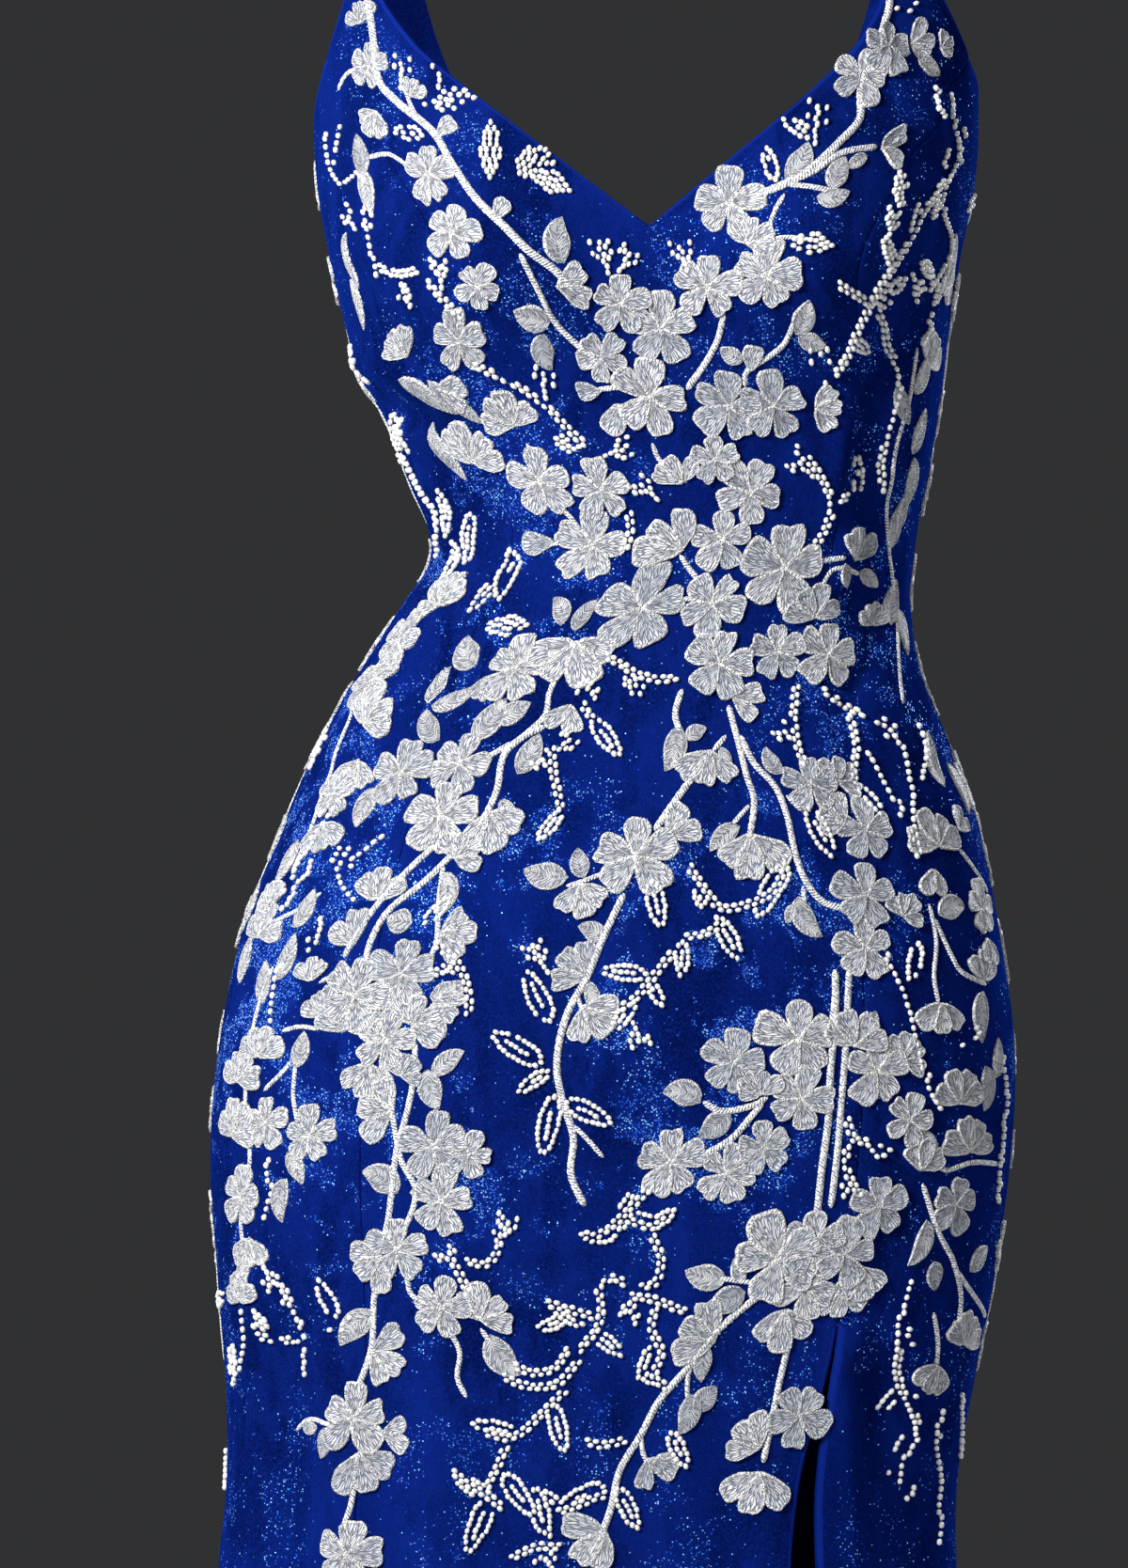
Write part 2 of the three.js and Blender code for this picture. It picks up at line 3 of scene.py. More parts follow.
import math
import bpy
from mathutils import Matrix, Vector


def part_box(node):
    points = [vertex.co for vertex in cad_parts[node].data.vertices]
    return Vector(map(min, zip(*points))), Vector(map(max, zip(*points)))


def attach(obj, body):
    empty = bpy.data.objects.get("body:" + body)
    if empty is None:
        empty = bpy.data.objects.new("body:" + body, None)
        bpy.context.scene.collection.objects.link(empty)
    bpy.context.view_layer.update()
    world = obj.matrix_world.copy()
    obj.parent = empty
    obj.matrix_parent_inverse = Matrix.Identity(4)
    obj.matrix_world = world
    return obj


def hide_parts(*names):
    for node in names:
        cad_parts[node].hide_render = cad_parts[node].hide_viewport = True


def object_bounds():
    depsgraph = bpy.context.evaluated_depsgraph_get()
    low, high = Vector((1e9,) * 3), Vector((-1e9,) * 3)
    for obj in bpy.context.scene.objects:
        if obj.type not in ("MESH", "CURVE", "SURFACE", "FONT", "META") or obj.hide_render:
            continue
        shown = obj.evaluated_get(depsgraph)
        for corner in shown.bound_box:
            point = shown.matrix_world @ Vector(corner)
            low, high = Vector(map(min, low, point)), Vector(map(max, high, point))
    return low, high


bl_info = {
    "name": "Mermaid Evening Dress",
    "version": (1, 0, 0),
    "blender": (4, 5, 0),
    "location": "View3D > Sidebar > Dress",
    "description": "Cuts the gores of a fitted gown, embroiders and beads them, and sets the stage",
    "category": "Object",
}

from functools import lru_cache

import bpy
import numpy as np
from mathutils import Vector

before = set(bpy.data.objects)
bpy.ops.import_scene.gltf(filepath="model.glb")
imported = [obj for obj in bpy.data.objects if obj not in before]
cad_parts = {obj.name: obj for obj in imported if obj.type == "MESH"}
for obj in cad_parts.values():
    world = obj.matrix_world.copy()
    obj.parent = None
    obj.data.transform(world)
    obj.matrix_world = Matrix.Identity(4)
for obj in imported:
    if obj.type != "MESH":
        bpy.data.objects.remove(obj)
CAD_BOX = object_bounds()

MM = 0.001
TURN, DROP = 1e-3, 0.5  # small steps in angle and height, for slopes


# ---------------------------------------------------------------- the form of the worn dress, in millimetres

class Table:
    """Rows of numbers under named columns that run downwards, with a smooth curve through each column."""

    def __init__(self, columns, *rows):
        self.columns = dict(zip(columns.split(), np.array(rows, float).T))

    def __call__(self, column, z):
        heights, values = self.columns["z"], self.columns[column]
        last = len(heights) - 1
        places = np.arange(last + 1)
        above, below = np.maximum(places - 1, 0), np.minimum(places + 1, last)
        slope = (values[below] - values[above]) / (heights[below] - heights[above])
        z = np.asarray(z, float)
        i = np.clip(np.searchsorted(-heights, -z, side="right") - 1, 0, last - 1)
        span = heights[i + 1] - heights[i]
        t = np.clip((z - heights[i]) / span, 0, 1)
        blend, bend = smooth(t), t * (1 - t) * span
        inside = values[i] * (1 - blend) + values[i + 1] * blend
        inside += bend * (slope[i] * (1 - t) - slope[i + 1] * t)
        return np.where(z > heights[0], values[0] + slope[0] * (z - heights[0]), inside)


HEM = -1480
WAIST = -384
BODICE_TOP = {"right": -113, "left": -98}
FRONT_V = -228
BACK_V = -272
ARMHOLE_SEAM = -150
UNDERARM = {"right": -178, "left": -163}
UNDERARM_CURVE = 0.8  # the power by which a side gore's top rises from the side seam to the armhole
SIDE_TOP = -200  # the rows of the side gores taper upwards from here
SLIT_TOP = -716
ZIP_BOTTOM = -600
CORNER = 0.035  # how much fuller than an ellipse the rings are between front and side
FADE_FORM, FADE_FOLD = 0.55, 0.25  # the cosine below which rounded forms and folds fade towards the sides

RINGS = Table(
    "z right left front back",
    (-60, -138, 138, 50, 84), (-118, -148, 147, 68, 92), (-170, -151, 149, 88, 98),
    (-208, -149, 147, 99, 100), (-242, -143, 140, 104, 99), (-276, -135, 135, 101, 96),
    (-295, -130, 133, 98, 94), (-310, -120, 131, 95, 92), (-343, -107, 125, 89, 86), (-362, -99, 121, 86, 84),
    (-378, -99, 119, 84, 83), (-395, -110, 118, 84, 84), (-428, -131, 123, 87, 90), (-462, -150, 137, 92, 98),
    (-496, -165, 149, 96, 105), (-547, -184, 159, 100, 109), (-598, -194, 165, 101, 108),
    (-649, -197, 163, 99, 104), (-700, -194, 156, 96, 100), (-750, -190, 146, 94, 97),
    (-790, -190, 139, 93, 95), (-830, -193, 139, 92, 96), (-930, -198, 146, 96, 104),
    (-1050, -212, 166, 112, 128), (-1170, -248, 206, 146, 172), (-1320, -312, 272, 206, 242),
    (-1480, -378, 336, 266, 312),
)
SEAMS = Table(
    "z frontRight frontLeft backRight backLeft",
    (-150, -73, 74, -119, 119), (-165, -64, 64, -123, 123), (-196, -50, 51, -131, 131),
    (-241, -39, 41, -138, 138), (-299, -41, 43, -142, 142), (-384, -40, 39, -144, 144),
    (-500, -38, 38, -142, 142), (-716, -37, 36, -140, 140), (-1480, -38, 36, -140, 140),
)
SLIT = Table("z front side", (-716, 0, 0), (-740, 0.4, 0.2), (-830, 4, 0.6), (-1000, 5.5, 2.5), (-1480, 8, 7))
NECK = {
    "front": Table(
        "z right left",
        (-98, -126, 110), (-113, -123, 108), (-123, -120, 105), (-136, -112, 99), (-150, -100, 89),
        (-165, -82, 74), (-180, -63, 57), (-200, -37, 33), (-228, 0, 0),
    ),
    "back": Table(
        "z right left", (-98, -108, 108), (-150, -92, 92), (-190, -68, 68), (-230, -36, 36), (-272, 0, 0)
    ),
}
ARM = {
    "front": Table("z right left", (-98, -129, 121), (-113, -134, 127), (-130, -139, 136), (-150, -145, 145)),
    "back": Table("z right left", (-98, -118, 118), (-125, -121, 121), (-150, -130, 130)),
}
LOWEST = {"front": FRONT_V, "back": BACK_V}

# Rounded forms: x, z, how far they stand out, width, and heights above and below
CUPS = ((-84, -250, 33, 50, 62, 40), (86, -240, 33, 50, 62, 40))
SEAT = ((-86, -592, 15, 62, 90, 70), (58, -586, 15, 62, 90, 70))

# Folds and creases: x, z, to x, to z, how far they reach out or in, and how wide they are
FRONT_FOLDS = (
    (-150, -293, -104, -313, -5, 7), (-150, -282, -98, -298, 3, 8), (-118, -330, -70, -352, -2, 10),
    (106, -284, 96, -352, -3, 9), (112, -352, 92, -398, -2.5, 9), (-166, -730, -160, -960, -5, 13),
    (-138, -770, -130, -980, 4, 15), (99, -744, 112, -860, -4, 9), (112, -742, 142, -905, -4, 11),
    # finer creases
    (-128, -320, -90, -336, -1.2, 4), (-106, -303, -70, -309, 0.9, 5), (-97, -352, -62, -363, -1.2, 4.5),
    (-95, -373, -50, -379, -1.3, 4), (-103, -392, -66, -386, 1.0, 5), (101, -300, 95, -332, -1.4, 4),
    (88, -306, 83, -355, 1.0, 5), (104, -334, 97, -374, -1.5, 4), (113, -374, 103, -412, -1.3, 4.5),
    (92, -366, 80, -402, 0.9, 5), (86, -428, 93, -474, -0.9, 6), (-152, -470, -92, -486, -0.9, 7),
    (134, -468, 84, -482, -0.9, 7), (-60, -288, -53, -332, -0.9, 6), (65, -284, 60, -326, -0.9, 6),
    (-22, -238, -2, -266, 0.5, 5), (-62, -640, 28, -656, -1.0, 10), (-44, -668, 22, -678, -0.8, 8),
    (-60, -722, -67, -905, -1.8, 12), (-22, -742, -14, -965, 1.6, 12), (30, -732, 41, -905, -1.7, 11),
    (96, -146, 128, -176, 2.0, 6), (110, -138, 138, -166, -2.0, 5), (100, -186, 132, -200, -1.6, 5),
    (98, -174, 130, -188, 1.6, 5), (72, -288, 80, -330, -1.5, 5), (-128, -250, -100, -300, -1.6, 6),
    (-134, -232, -112, -278, 1.6, 6), (-118, -198, -96, -222, -1.4, 6), (104, -398, 92, -440, -1.6, 6),
    (-120, -424, -80, -438, -1.5, 6), (-134, -436, -86, -452, 1.5, 7), (-96, -700, -92, -830, 1.5, 8),
    (55, -800, 62, -1000, 1.6, 9), (-101, -762, -106, -935, 1.4, 12), (93, -724, 105, -806, 1.8, 5),
    (98, -732, 127, -842, -1.8, 6), (88, -734, 92, -846, 1.2, 4), (128, -700, 132, -800, -1.2, 6),
    (-176, -700, -172, -840, 1.6, 7), (-150, -742, -146, -860, -1.6, 6), (-122, -700, -119, -800, -0.8, 6),
)
DEEPER = 1.5  # each fold reaches this many times what its row says
BACK_FOLDS = (
    (-70, -398, 10, -410, -3, 9), (-6, -424, 66, -414, -3, 9), (-140, -676, -40, -690, -3, 12),
    (30, -688, 110, -668, -3, 12),
    # finer creases
    (-62, -370, -18, -379, -1.3, 5), (14, -382, 66, -371, -1.3, 5), (-82, -413, -30, -421, 1.0, 6),
    (20, -436, 72, -444, -1.1, 6), (-52, -348, -14, -353, 0.9, 5), (16, -352, 48, -346, 0.8, 5),
    (-100, -640, -32, -653, -1.3, 8), (24, -652, 96, -639, -1.3, 8), (-24, -702, 22, -708, -1.1, 7),
    (-60, -760, -71, -955, -1.8, 12), (0, -784, 4, -985, 1.6, 12), (62, -752, 75, -945, -1.8, 12),
    (112, -792, 121, -985, 1.5, 12), (-112, -802, -125, -992, 1.4, 12), (-96, -440, -120, -500, -1.0, 7),
    (92, -440, 112, -496, -1.0, 7), (-60, -284, -40, -330, -0.8, 6), (58, -286, 44, -328, -0.8, 6),
)

# The skirt's flutes: each ridge's angle, its reach at the hem, half its width, and where it starts
FLUTES = (
    (8, 44, 12, -960), (55, 54, 11, -800), (84, 40, 12, -930), (112, 56, 12, -900), (141, 44, 12, -980),
    (170, 58, 12, -860), (201, 46, 12, -940), (231, 56, 12, -900), (262, 42, 12, -960), (291, 56, 12, -780),
    (318, 38, 11, -920), (341, 50, 11, -880),
)


def smooth(t):
    """A smooth step from 0 to 1."""
    t = np.clip(t, 0, 1)
    return t * t * (3 - 2 * t)


def mounds(rows, at_x, at_z):
    """How far the rounded forms of one face reach at places on it."""
    total = 0.0
    for x, z, reach, wide, up, down in rows:
        tall = np.where(at_z > z, up, down)
        total = total + reach * np.exp(-(((at_x - x) / wide) ** 2) - ((at_z - z) / tall) ** 2)
    return total


def creased(rows, at_x, at_z):
    """How far the folds of one face reach at places on it."""
    total = np.zeros(at_x.shape)
    for x, z, to_x, to_z, reach, wide in rows:
        reached = 3 * wide
        near = (at_z < max(z, to_z) + reached) & (at_z > min(z, to_z) - reached)
        near &= (at_x > min(x, to_x) - reached) & (at_x < max(x, to_x) + reached)
        if not near.any():
            continue
        run_x, run_z = to_x - x, to_z - z
        away_x, away_z = at_x[near] - x, at_z[near] - z
        t = np.clip((away_x * run_x + away_z * run_z) / (run_x ** 2 + run_z ** 2), 0, 1)
        away = np.hypot(away_x - t * run_x, away_z - t * run_z)
        total[near] += DEEPER * reach * np.exp(-((away / wide) ** 2))
    return total


def flared(degrees, z):
    """How far the skirt's flutes reach."""
    total = np.zeros(z.shape)
    low = z < max(start for *_, start in FLUTES)
    if low.any():
        for at, reach, wide, start in FLUTES:
            away = (degrees[low] - at + 180) % 360 - 180
            fall = np.clip((start - z[low]) / (start - HEM), 0, None)
            total[low] += reach * np.exp(-((away / wide) ** 2)) * fall ** 1.5
    return total


def rippled(x, z):
    """The slight unevenness of soft cloth, which grows down the skirt."""
    broad = np.sin(x / 19 + 1.6 * np.sin(z / 43)) * np.sin(z / 27 + 1.3 * np.sin(x / 33))
    small = np.sin(x / 8.3 + 1.9 * np.sin(z / 17)) * np.sin(z / 11.7 + 1.1 * np.sin(x / 14))
    return (0.35 + 0.5 * smooth((-700 - z) / 300)) * broad + 0.1 * small


def surface(angle, z):
    """Points of the dress's outer face at angles round its rings, where 0 is the centre front."""
    angle, z = np.broadcast_arrays(np.asarray(angle, float), np.asarray(z, float))
    s, c = np.sin(angle), np.cos(angle)
    front = c > 0
    right, left = RINGS("right", z), RINGS("left", z)
    squarer = 1 + CORNER * (2 * s * c) ** 2
    x = (right + left) / 2 + (left - right) / 2 * s * squarer
    y = -np.where(front, RINGS("front", z), RINGS("back", z)) * c * squarer
    form = np.where(front, -mounds(CUPS, x, z), mounds(SEAT, x, z)) * smooth(abs(c) / FADE_FORM)
    folds = np.where(front, creased(FRONT_FOLDS, x, z), creased(BACK_FOLDS, x, z))
    folds = folds * smooth(abs(c) / FADE_FOLD)
    out = flared(np.degrees(angle), z) + folds + rippled(x + 0.6 * y, z)
    return np.stack([x + out * s, y - out * c + form, z], -1)


def laid(angle, z, lift):
    """Points that stand off the outer face along its normal, in metres."""
    across = surface(angle + TURN, z) - surface(angle - TURN, z)
    up = surface(angle, z + DROP) - surface(angle, z - DROP)
    normal = np.cross(across, up)
    normal /= np.linalg.norm(normal, axis=-1, keepdims=True)
    return (surface(angle, z) + normal * np.asarray(lift)[..., None]) * MM


def pace(angle, z):
    """Millimetres round the ring for each radian."""
    return np.linalg.norm(surface(angle + TURN, z) - surface(angle - TURN, z), axis=-1) / (2 * TURN)


HALVINGS = 24


def angle_of(x, z, back=False):
    """The angle at which the front or back has a given x, by halving the half turn that holds it."""
    x, z = np.broadcast_arrays(np.asarray(x, float), np.asarray(z, float))
    low, high = np.full(x.shape, -math.pi / 2), np.full(x.shape, math.pi / 2)
    for _ in range(HALVINGS):
        middle = (low + high) / 2
        less = surface(math.pi - middle if back else middle, z)[..., 0] < x
        low, high = np.where(less, middle, low), np.where(less, high, middle)
    return math.pi - low if back else low


def shifted(angle, z, distance):
    """An angle moved by a distance round the ring."""
    return angle + distance / pace(angle, z)


def laid_out(angle, z, way, across, along):
    """Angles and heights of places across and along a shape that points a way, clockwise from upwards."""
    s, c = np.sin(way), np.cos(way)
    return angle + (across * c + along * s) / pace(angle, z), z - across * s + along * c


def resampled(points, count_of, closed=False):
    """Evenly spaced places along a line, as many as its length asks for."""
    run = np.concatenate([[0], np.cumsum(np.linalg.norm(np.diff(points, axis=0), axis=1))])
    stations = np.linspace(0, run[-1], count_of(run[-1]), endpoint=not closed)
    return [np.interp(stations, run, points[:, i]) for i in (0, 1)]


def round_places(count):
    """Angles round a small shape."""
    return np.linspace(0, 2 * math.pi, count, endpoint=False)[None]


def by_turns(count):
    """-1 and 1 by turns."""
    return np.where(np.arange(count) % 2, 1, -1)


# ---------------------------------------------------------------- meshes

def clear_selection():
    """Leaves edit mode and selects nothing."""
    if bpy.context.object and bpy.context.object.mode != "OBJECT":
        bpy.ops.object.mode_set(mode="OBJECT")
    bpy.ops.object.select_all(action="DESELECT")


def select_only(piece):
    clear_selection()
    piece.select_set(True)
    bpy.context.view_layer.objects.active = piece


def mesh_piece(name, points, faces, material, sharp=None, uv=None, **attributes):
    """A mesh object from arrays. Faces is a list of arrays, one for each number of corners."""
    mesh = bpy.data.meshes.new(name)
    mesh.from_pydata(points.tolist(), [], [row for block in faces for row in block.tolist()])
    for key, values in attributes.items():
        mesh.attributes.new(key, "FLOAT", "POINT").data.foreach_set("value", np.asarray(values, np.float32))
    if uv is not None:
        corners = np.empty(len(mesh.loops), np.int32)
        mesh.loops.foreach_get("vertex_index", corners)
        layer = mesh.uv_layers.new(name="thread")
        layer.data.foreach_set("uv", np.asarray(uv, np.float32)[corners].ravel())
    mesh.materials.append(material)
    piece = bpy.data.objects.new(name, mesh)
    bpy.context.collection.objects.link(piece)
    select_only(piece)
    if sharp is None:
        bpy.ops.object.shade_smooth()
    else:
        bpy.ops.object.shade_smooth_by_angle(angle=math.radians(sharp))
    return piece


def keep(piece, slot, *nodes, body="dress"):
    """Makes a finished piece ride on its body and hides the nodes it stands for; the slot is not used."""
    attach(piece, body)
    if nodes:
        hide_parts(*nodes)
    return piece


# ---------------------------------------------------------------- finishes

class Wire:
    """A shader socket whose Python operators add Math nodes."""

    def __init__(self, paint, socket):
        self.paint, self.socket = paint, socket

    def math(self, operation, *values):
        return self.paint.node("Math", {"operation": operation}, dict(enumerate(values)))

    def __add__(self, other):
        return self.math("ADD", self, other)

    def __sub__(self, other):
        return self.math("SUBTRACT", self, other)

    def __rsub__(self, other):
        return self.math("SUBTRACT", other, self)

    def __mul__(self, other):
        return self.math("MULTIPLY", self, other)

    def __gt__(self, other):
        return self.math("GREATER_THAN", self, other)

    __radd__, __rmul__ = __add__, __mul__

    def wave(self):
        """A ridge for each unit of the value, between 0 and 1."""
        return self.math("SINE", self * (2 * math.pi)) * 0.5 + 0.5

    def step(self, low, high):
        """A smooth step from 0 at one value to 1 at another."""
        sockets = {"Value": self, "From Min": low, "From Max": high}
        return self.paint.node("MapRange", {"interpolation_type": "SMOOTHSTEP"}, sockets)


def shaded(colour, *shares):
    """A colour darkened or lightened by one share, or by one for each channel."""
    shares = shares * 3 if len(shares) == 1 else shares
    return tuple(value * share for value, share in zip(colour, shares))


class Paint:
    """A material and the nodes that make up its finish."""

    def __init__(self, name, **finish):
        self.material = bpy.data.materials.new(name)
        self.material.use_nodes = True
        self.tree = self.material.node_tree
        self.shader = self.tree.nodes["Principled BSDF"]
        self.finish(**finish)
        self.place = self.node("TexCoord", output="Object")

    def node(self, kind, settings=(), sockets=(), output=0):
        node = self.tree.nodes.new("ShaderNode" + kind)
        for name, value in dict(settings).items():
            setattr(node, name, value)
        for name, value in dict(sockets).items():
            self.feed(node.inputs[name], value)
        return Wire(self, node.outputs[output])

    def feed(self, socket, value):
        if isinstance(value, Wire):
            self.tree.links.new(value.socket, socket)
        elif socket.type == "RGBA" and len(value) == 3:
            socket.default_value = (*value, 1)
        else:
            socket.default_value = value

    def finish(self, **sockets):
        """Sets or links the shader's own sockets, which are named with underscores for spaces."""
        for name, value in sockets.items():
            self.feed(self.shader.inputs[name.replace("_", " ")], value)

    def noise(self, scale, detail=2, place=None, roughness=0.5, output=0):
        sockets = {"Vector": place or self.place, "Scale": scale, "Detail": detail, "Roughness": roughness}
        return self.node("TexNoise", (), sockets, output)

    def cells(self, scale, output="Distance", place=None, **settings):
        return self.node("TexVoronoi", settings, {"Vector": place or self.place, "Scale": scale}, output)

    def stretched(self, place, factors):
        return self.node("VectorMath", {"operation": "MULTIPLY"}, {0: place, 1: factors})

    def mix(self, factor, low, high, blend="MIX"):
        settings = {"data_type": "RGBA", "blend_type": blend}
        return self.node("Mix", settings, {0: factor, 6: low, 7: high}, 2)

    def axis(self, place, number):
        return self.node("SeparateXYZ", (), {0: place}, number)

    def thread_map(self):
        """The piece's own flat map, in millimetres across and along its threads."""
        return self.node("UVMap", {"uv_map": "thread"})

    def channel(self, colour, number=0):
        return self.node("SeparateColor", (), {0: colour}, number)

    def attribute(self, name):
        return self.node("Attribute", {"attribute_name": name}, output="Fac")

    def bump(self, height, distance, strength=1.0, under=None):
        sockets = {"Height": height, "Distance": distance, "Strength": strength}
        if under:
            sockets["Normal"] = under
        return self.node("Bump", (), sockets)


FLAKES = 1050  # glitter grains to a metre
# the grains' colours, from a deep blue to a painted glint, the colour of a flake that catches the light
DEEP_FLAKE, PAINTED_GLINT_FLAKE = (0.01, 0.09, 0.62), (0.30, 0.66, 1.0)
STRAY_FLAKES = 0.012  # the share of grains that shine outside the patches


def glitter_and_painted_shade(paint):
    """Broad uneven patches, thickest at the hips, and thinner at the bust and below, and thinner on the left
    as painted shade, the side the key light reaches less.
    """
    beside, above = paint.axis(paint.place, 0), paint.axis(paint.place, 2)
    patches = paint.noise(33, 5, roughness=0.7).step(0.50, 0.58)
    region = paint.noise(8, 2).step(0.33, 0.49) * (1 - above.step(-0.46, -0.22) * 0.6)
    region = region * (above.step(-1.05, -0.8) * 0.2 + above.step(-0.72, -0.62) * 0.7 + 0.1)
    # painted shade: on the dress's left, away from the key light, the patches thin, so fewer grains glint and
    # the satin there stays darker
    return patches * (region * (1 - beside.step(0.04, 0.12) * 0.55))


def royal_satin(name, colour, glitter):
    """Soft satin with a fine nap, painted sheen streaks and a painted highlight along its finished edges, and
    away from those edges patches of blue glitter whose grains glow with painted glints.
    """
    deep, light = shaded(colour, 0.42), tuple(min(value * 1.8 + 0.001, 1) for value in colour)
    paint = Paint(
        name, Sheen_Weight=0.14, Sheen_Roughness=0.4, Sheen_Tint=(0.01, 0.08, 0.75), Specular_IOR_Level=0.0
    )
    drawn = paint.noise(9, 3, place=paint.stretched(paint.place, (1.5, 1.5, 0.7)))
    broad = drawn * 0.6 + paint.noise(38, 3, place=paint.stretched(paint.place, (1.4, 1.4, 0.6))) * 0.4
    nap, fuzz = paint.noise(900, 2), paint.cells(1500)
    tone = paint.mix(broad.step(0.36, 0.64), deep, colour)
    tone = paint.mix(nap.step(0.35, 0.8) * 0.55, tone, light)
    # painted sheen: long marbled streaks lighten the satin where a crushed nap would catch the light; the
    # same streaks also feed the bump
    painted_sheen_streaks = paint.noise(26, 4, place=paint.stretched(paint.place, (1.0, 1.0, 0.45)), roughness=0.62)
    painted_sheen_streaks = painted_sheen_streaks.step(0.46, 0.52) * (1 - painted_sheen_streaks.step(0.54, 0.62))
    tone = paint.mix(painted_sheen_streaks * 0.26, tone, light)
    rough = nap * 0.2 + 0.38
    normal = paint.bump(nap * 0.7 + fuzz * 0.5 + painted_sheen_streaks * 0.6, 0.00035, 0.7)
    if not glitter:
        paint.finish(Base_Color=tone, Roughness=rough, Normal=normal)
        return paint.material
    edge = paint.attribute("edge")
    field = edge.step(5.5, 9)
    # a painted highlight: a light strip just inside each finished edge, where the turned edge catches the
    # light
    painted_edge_highlight = edge.step(0.2, 0.8) * (1 - edge.step(2.0, 2.8))
    tone = paint.mix(painted_edge_highlight * 0.8, tone, light)
    grains, shade = paint.cells(FLAKES), paint.cells(FLAKES, "Color")
    chance, glow = paint.channel(shade, 0), paint.channel(shade, 1)
    # the glitter patches: painted lighter over the satin as the glitter's sheen, and setting how thickly the
    # real grains lie
    glitter_and_sheen = glitter_and_painted_shade(paint) * field
    tone = paint.mix(glitter_and_sheen * 0.55, tone, light)
    wanted = glitter_and_sheen * glitter + field * STRAY_FLAKES
    spark = (1 - grains.step(0.26, 0.44)) * (wanted > chance)
    # a few grains take the painted glint colour, as if turned to the light
    flake = paint.mix(glow * glow * glow, DEEP_FLAKE, PAINTED_GLINT_FLAKE)
    paint.finish(
        Base_Color=paint.mix(spark, tone, flake),
        Roughness=rough * (1 - spark * 0.5),
        Metallic=spark * 0.35,
        # painted glow: the grains give off light of their own colour, as glints that show from every side
        Emission_Color=paint.mix(spark, (0, 0, 0), flake),
        Emission_Strength=0.6,
        Normal=paint.bump(spark, 0.0004, 0.8, normal),
    )
    return paint.material


def silver_thread(name, colour):
    """Short stitches side by side that converge where the shape does, inside a grainy raised outline."""
    gap = shaded(colour, 0.20, 0.24, 0.36)
    paint = Paint(name, Sheen_Weight=0.1, Sheen_Roughness=0.5, Specular_IOR_Level=0.5)
    flat = paint.thread_map()
    sway = paint.node("VectorMath", {"operation": "SCALE"}, {0: paint.noise(220, 2, output=1), "Scale": 1.1})
    swayed = paint.node("VectorMath", {"operation": "ADD"}, {0: flat, 1: sway})
    lie = paint.stretched(swayed, (1.28, 0.185, 1.0))
    between = paint.cells(1.0, place=lie, feature="DISTANCE_TO_EDGE", voronoi_dimensions="2D")
    shade = paint.channel(paint.cells(1.0, "Color", place=lie, voronoi_dimensions="2D"))
    rim, tone = paint.attribute("rim").step(0.25, 0.8), paint.attribute("tone")
    thread = between.step(0.0, 0.24)
    fibre = paint.noise(1.0, 2, place=paint.stretched(flat, (7.0, 0.9, 1.0)))
    grain = 1 - paint.cells(900).step(0.15, 0.7)
    height = (thread * 0.6 + shade * 0.2 + fibre * 0.25) * (1 - rim) + grain * rim * 1.3
    cover = (thread * (shade * 0.4 + fibre * 0.5 + 0.30)) * (1 - rim) + (grain * 0.6 + 0.8) * rim
    cover = cover * (tone * 0.36 + 0.64)
    paint.finish(
        Base_Color=paint.mix(cover, gap, colour),
        Roughness=cover * -0.2 + 0.58,
        Normal=paint.bump(height, 0.0012, 1.0),
    )
    return paint.material


def twisted_cord(colour):
    """A cord of thread wound round a core, with uneven bumps."""
    paint = Paint("twisted_silver_cord", Sheen_Weight=0.1, Sheen_Roughness=0.5, Specular_IOR_Level=0.2)
    flat = paint.thread_map()
    across, along = paint.axis(flat, 0), paint.axis(flat, 1)
    wound = (along * 0.7 + across * 0.42 + paint.noise(330, 2) * 0.45).wave()
    lump = 1 - paint.cells(760).step(0.1, 0.75)
    height = wound * 0.55 + lump * 0.35
    cover = wound * 0.35 + lump * 0.5 + 0.35
    paint.finish(
        Base_Color=paint.mix(cover.step(0.3, 0.85), shaded(colour, 0.13, 0.16, 0.25), colour),
        Roughness=0.62,
        Normal=paint.bump(height, 0.0008, 1.0),
    )
    return paint.material


def pearl_bead(colour):
    """Silver-white seed beads, each a little different, with a soft gloss."""
    paint = Paint("pearl_bead", Coat_Roughness=0.2)
    tone, grain = paint.attribute("tone"), paint.noise(700, 2)
    paint.finish(
        Base_Color=paint.mix(tone * 0.6 + grain * 0.5, shaded(colour, 0.55), colour),
        Roughness=grain * 0.3 + 0.25,
        Coat_Weight=tone * 0.5,
        Normal=paint.bump(grain, 0.0006, 0.7),
    )
    return paint.material


def woven_tape(colour):
    """The zip's woven tape, with fine yarns that slant one way and then the other."""
    paint = Paint("woven_zip_tape", Sheen_Weight=0.2)
    across, along = paint.axis(paint.place, 0), paint.axis(paint.place, 2)
    slant = across.math("PINGPONG", across, 0.0016)
    yarn = (along * 900 + slant * 900).wave() * ((across * 1600).wave() * 0.5 + 0.5)
    paint.finish(
        Base_Color=paint.mix(yarn, shaded(colour, 0.4), colour),
        Roughness=0.85,
        Normal=paint.bump(yarn, 0.0003, 0.8),
    )
    return paint.material


def enamel(colour):
    """Blue enamel over cast metal, worn a little brighter in places."""
    paint = Paint("blue_zip_enamel", Coat_Roughness=0.12)
    wear = paint.noise(420, 3).step(0.58, 0.75)
    paint.finish(
        Base_Color=paint.mix(wear * 0.4, colour, (0.32, 0.38, 0.55)),
        Metallic=wear * 0.5 + 0.35,
        Roughness=wear * -0.1 + 0.34,
        Coat_Weight=0.5 - wear * 0.3,
        Normal=paint.bump(paint.noise(1600, 1), 0.0001, 0.4),
    )
    return paint.material


# ---------------------------------------------------------------- the gores

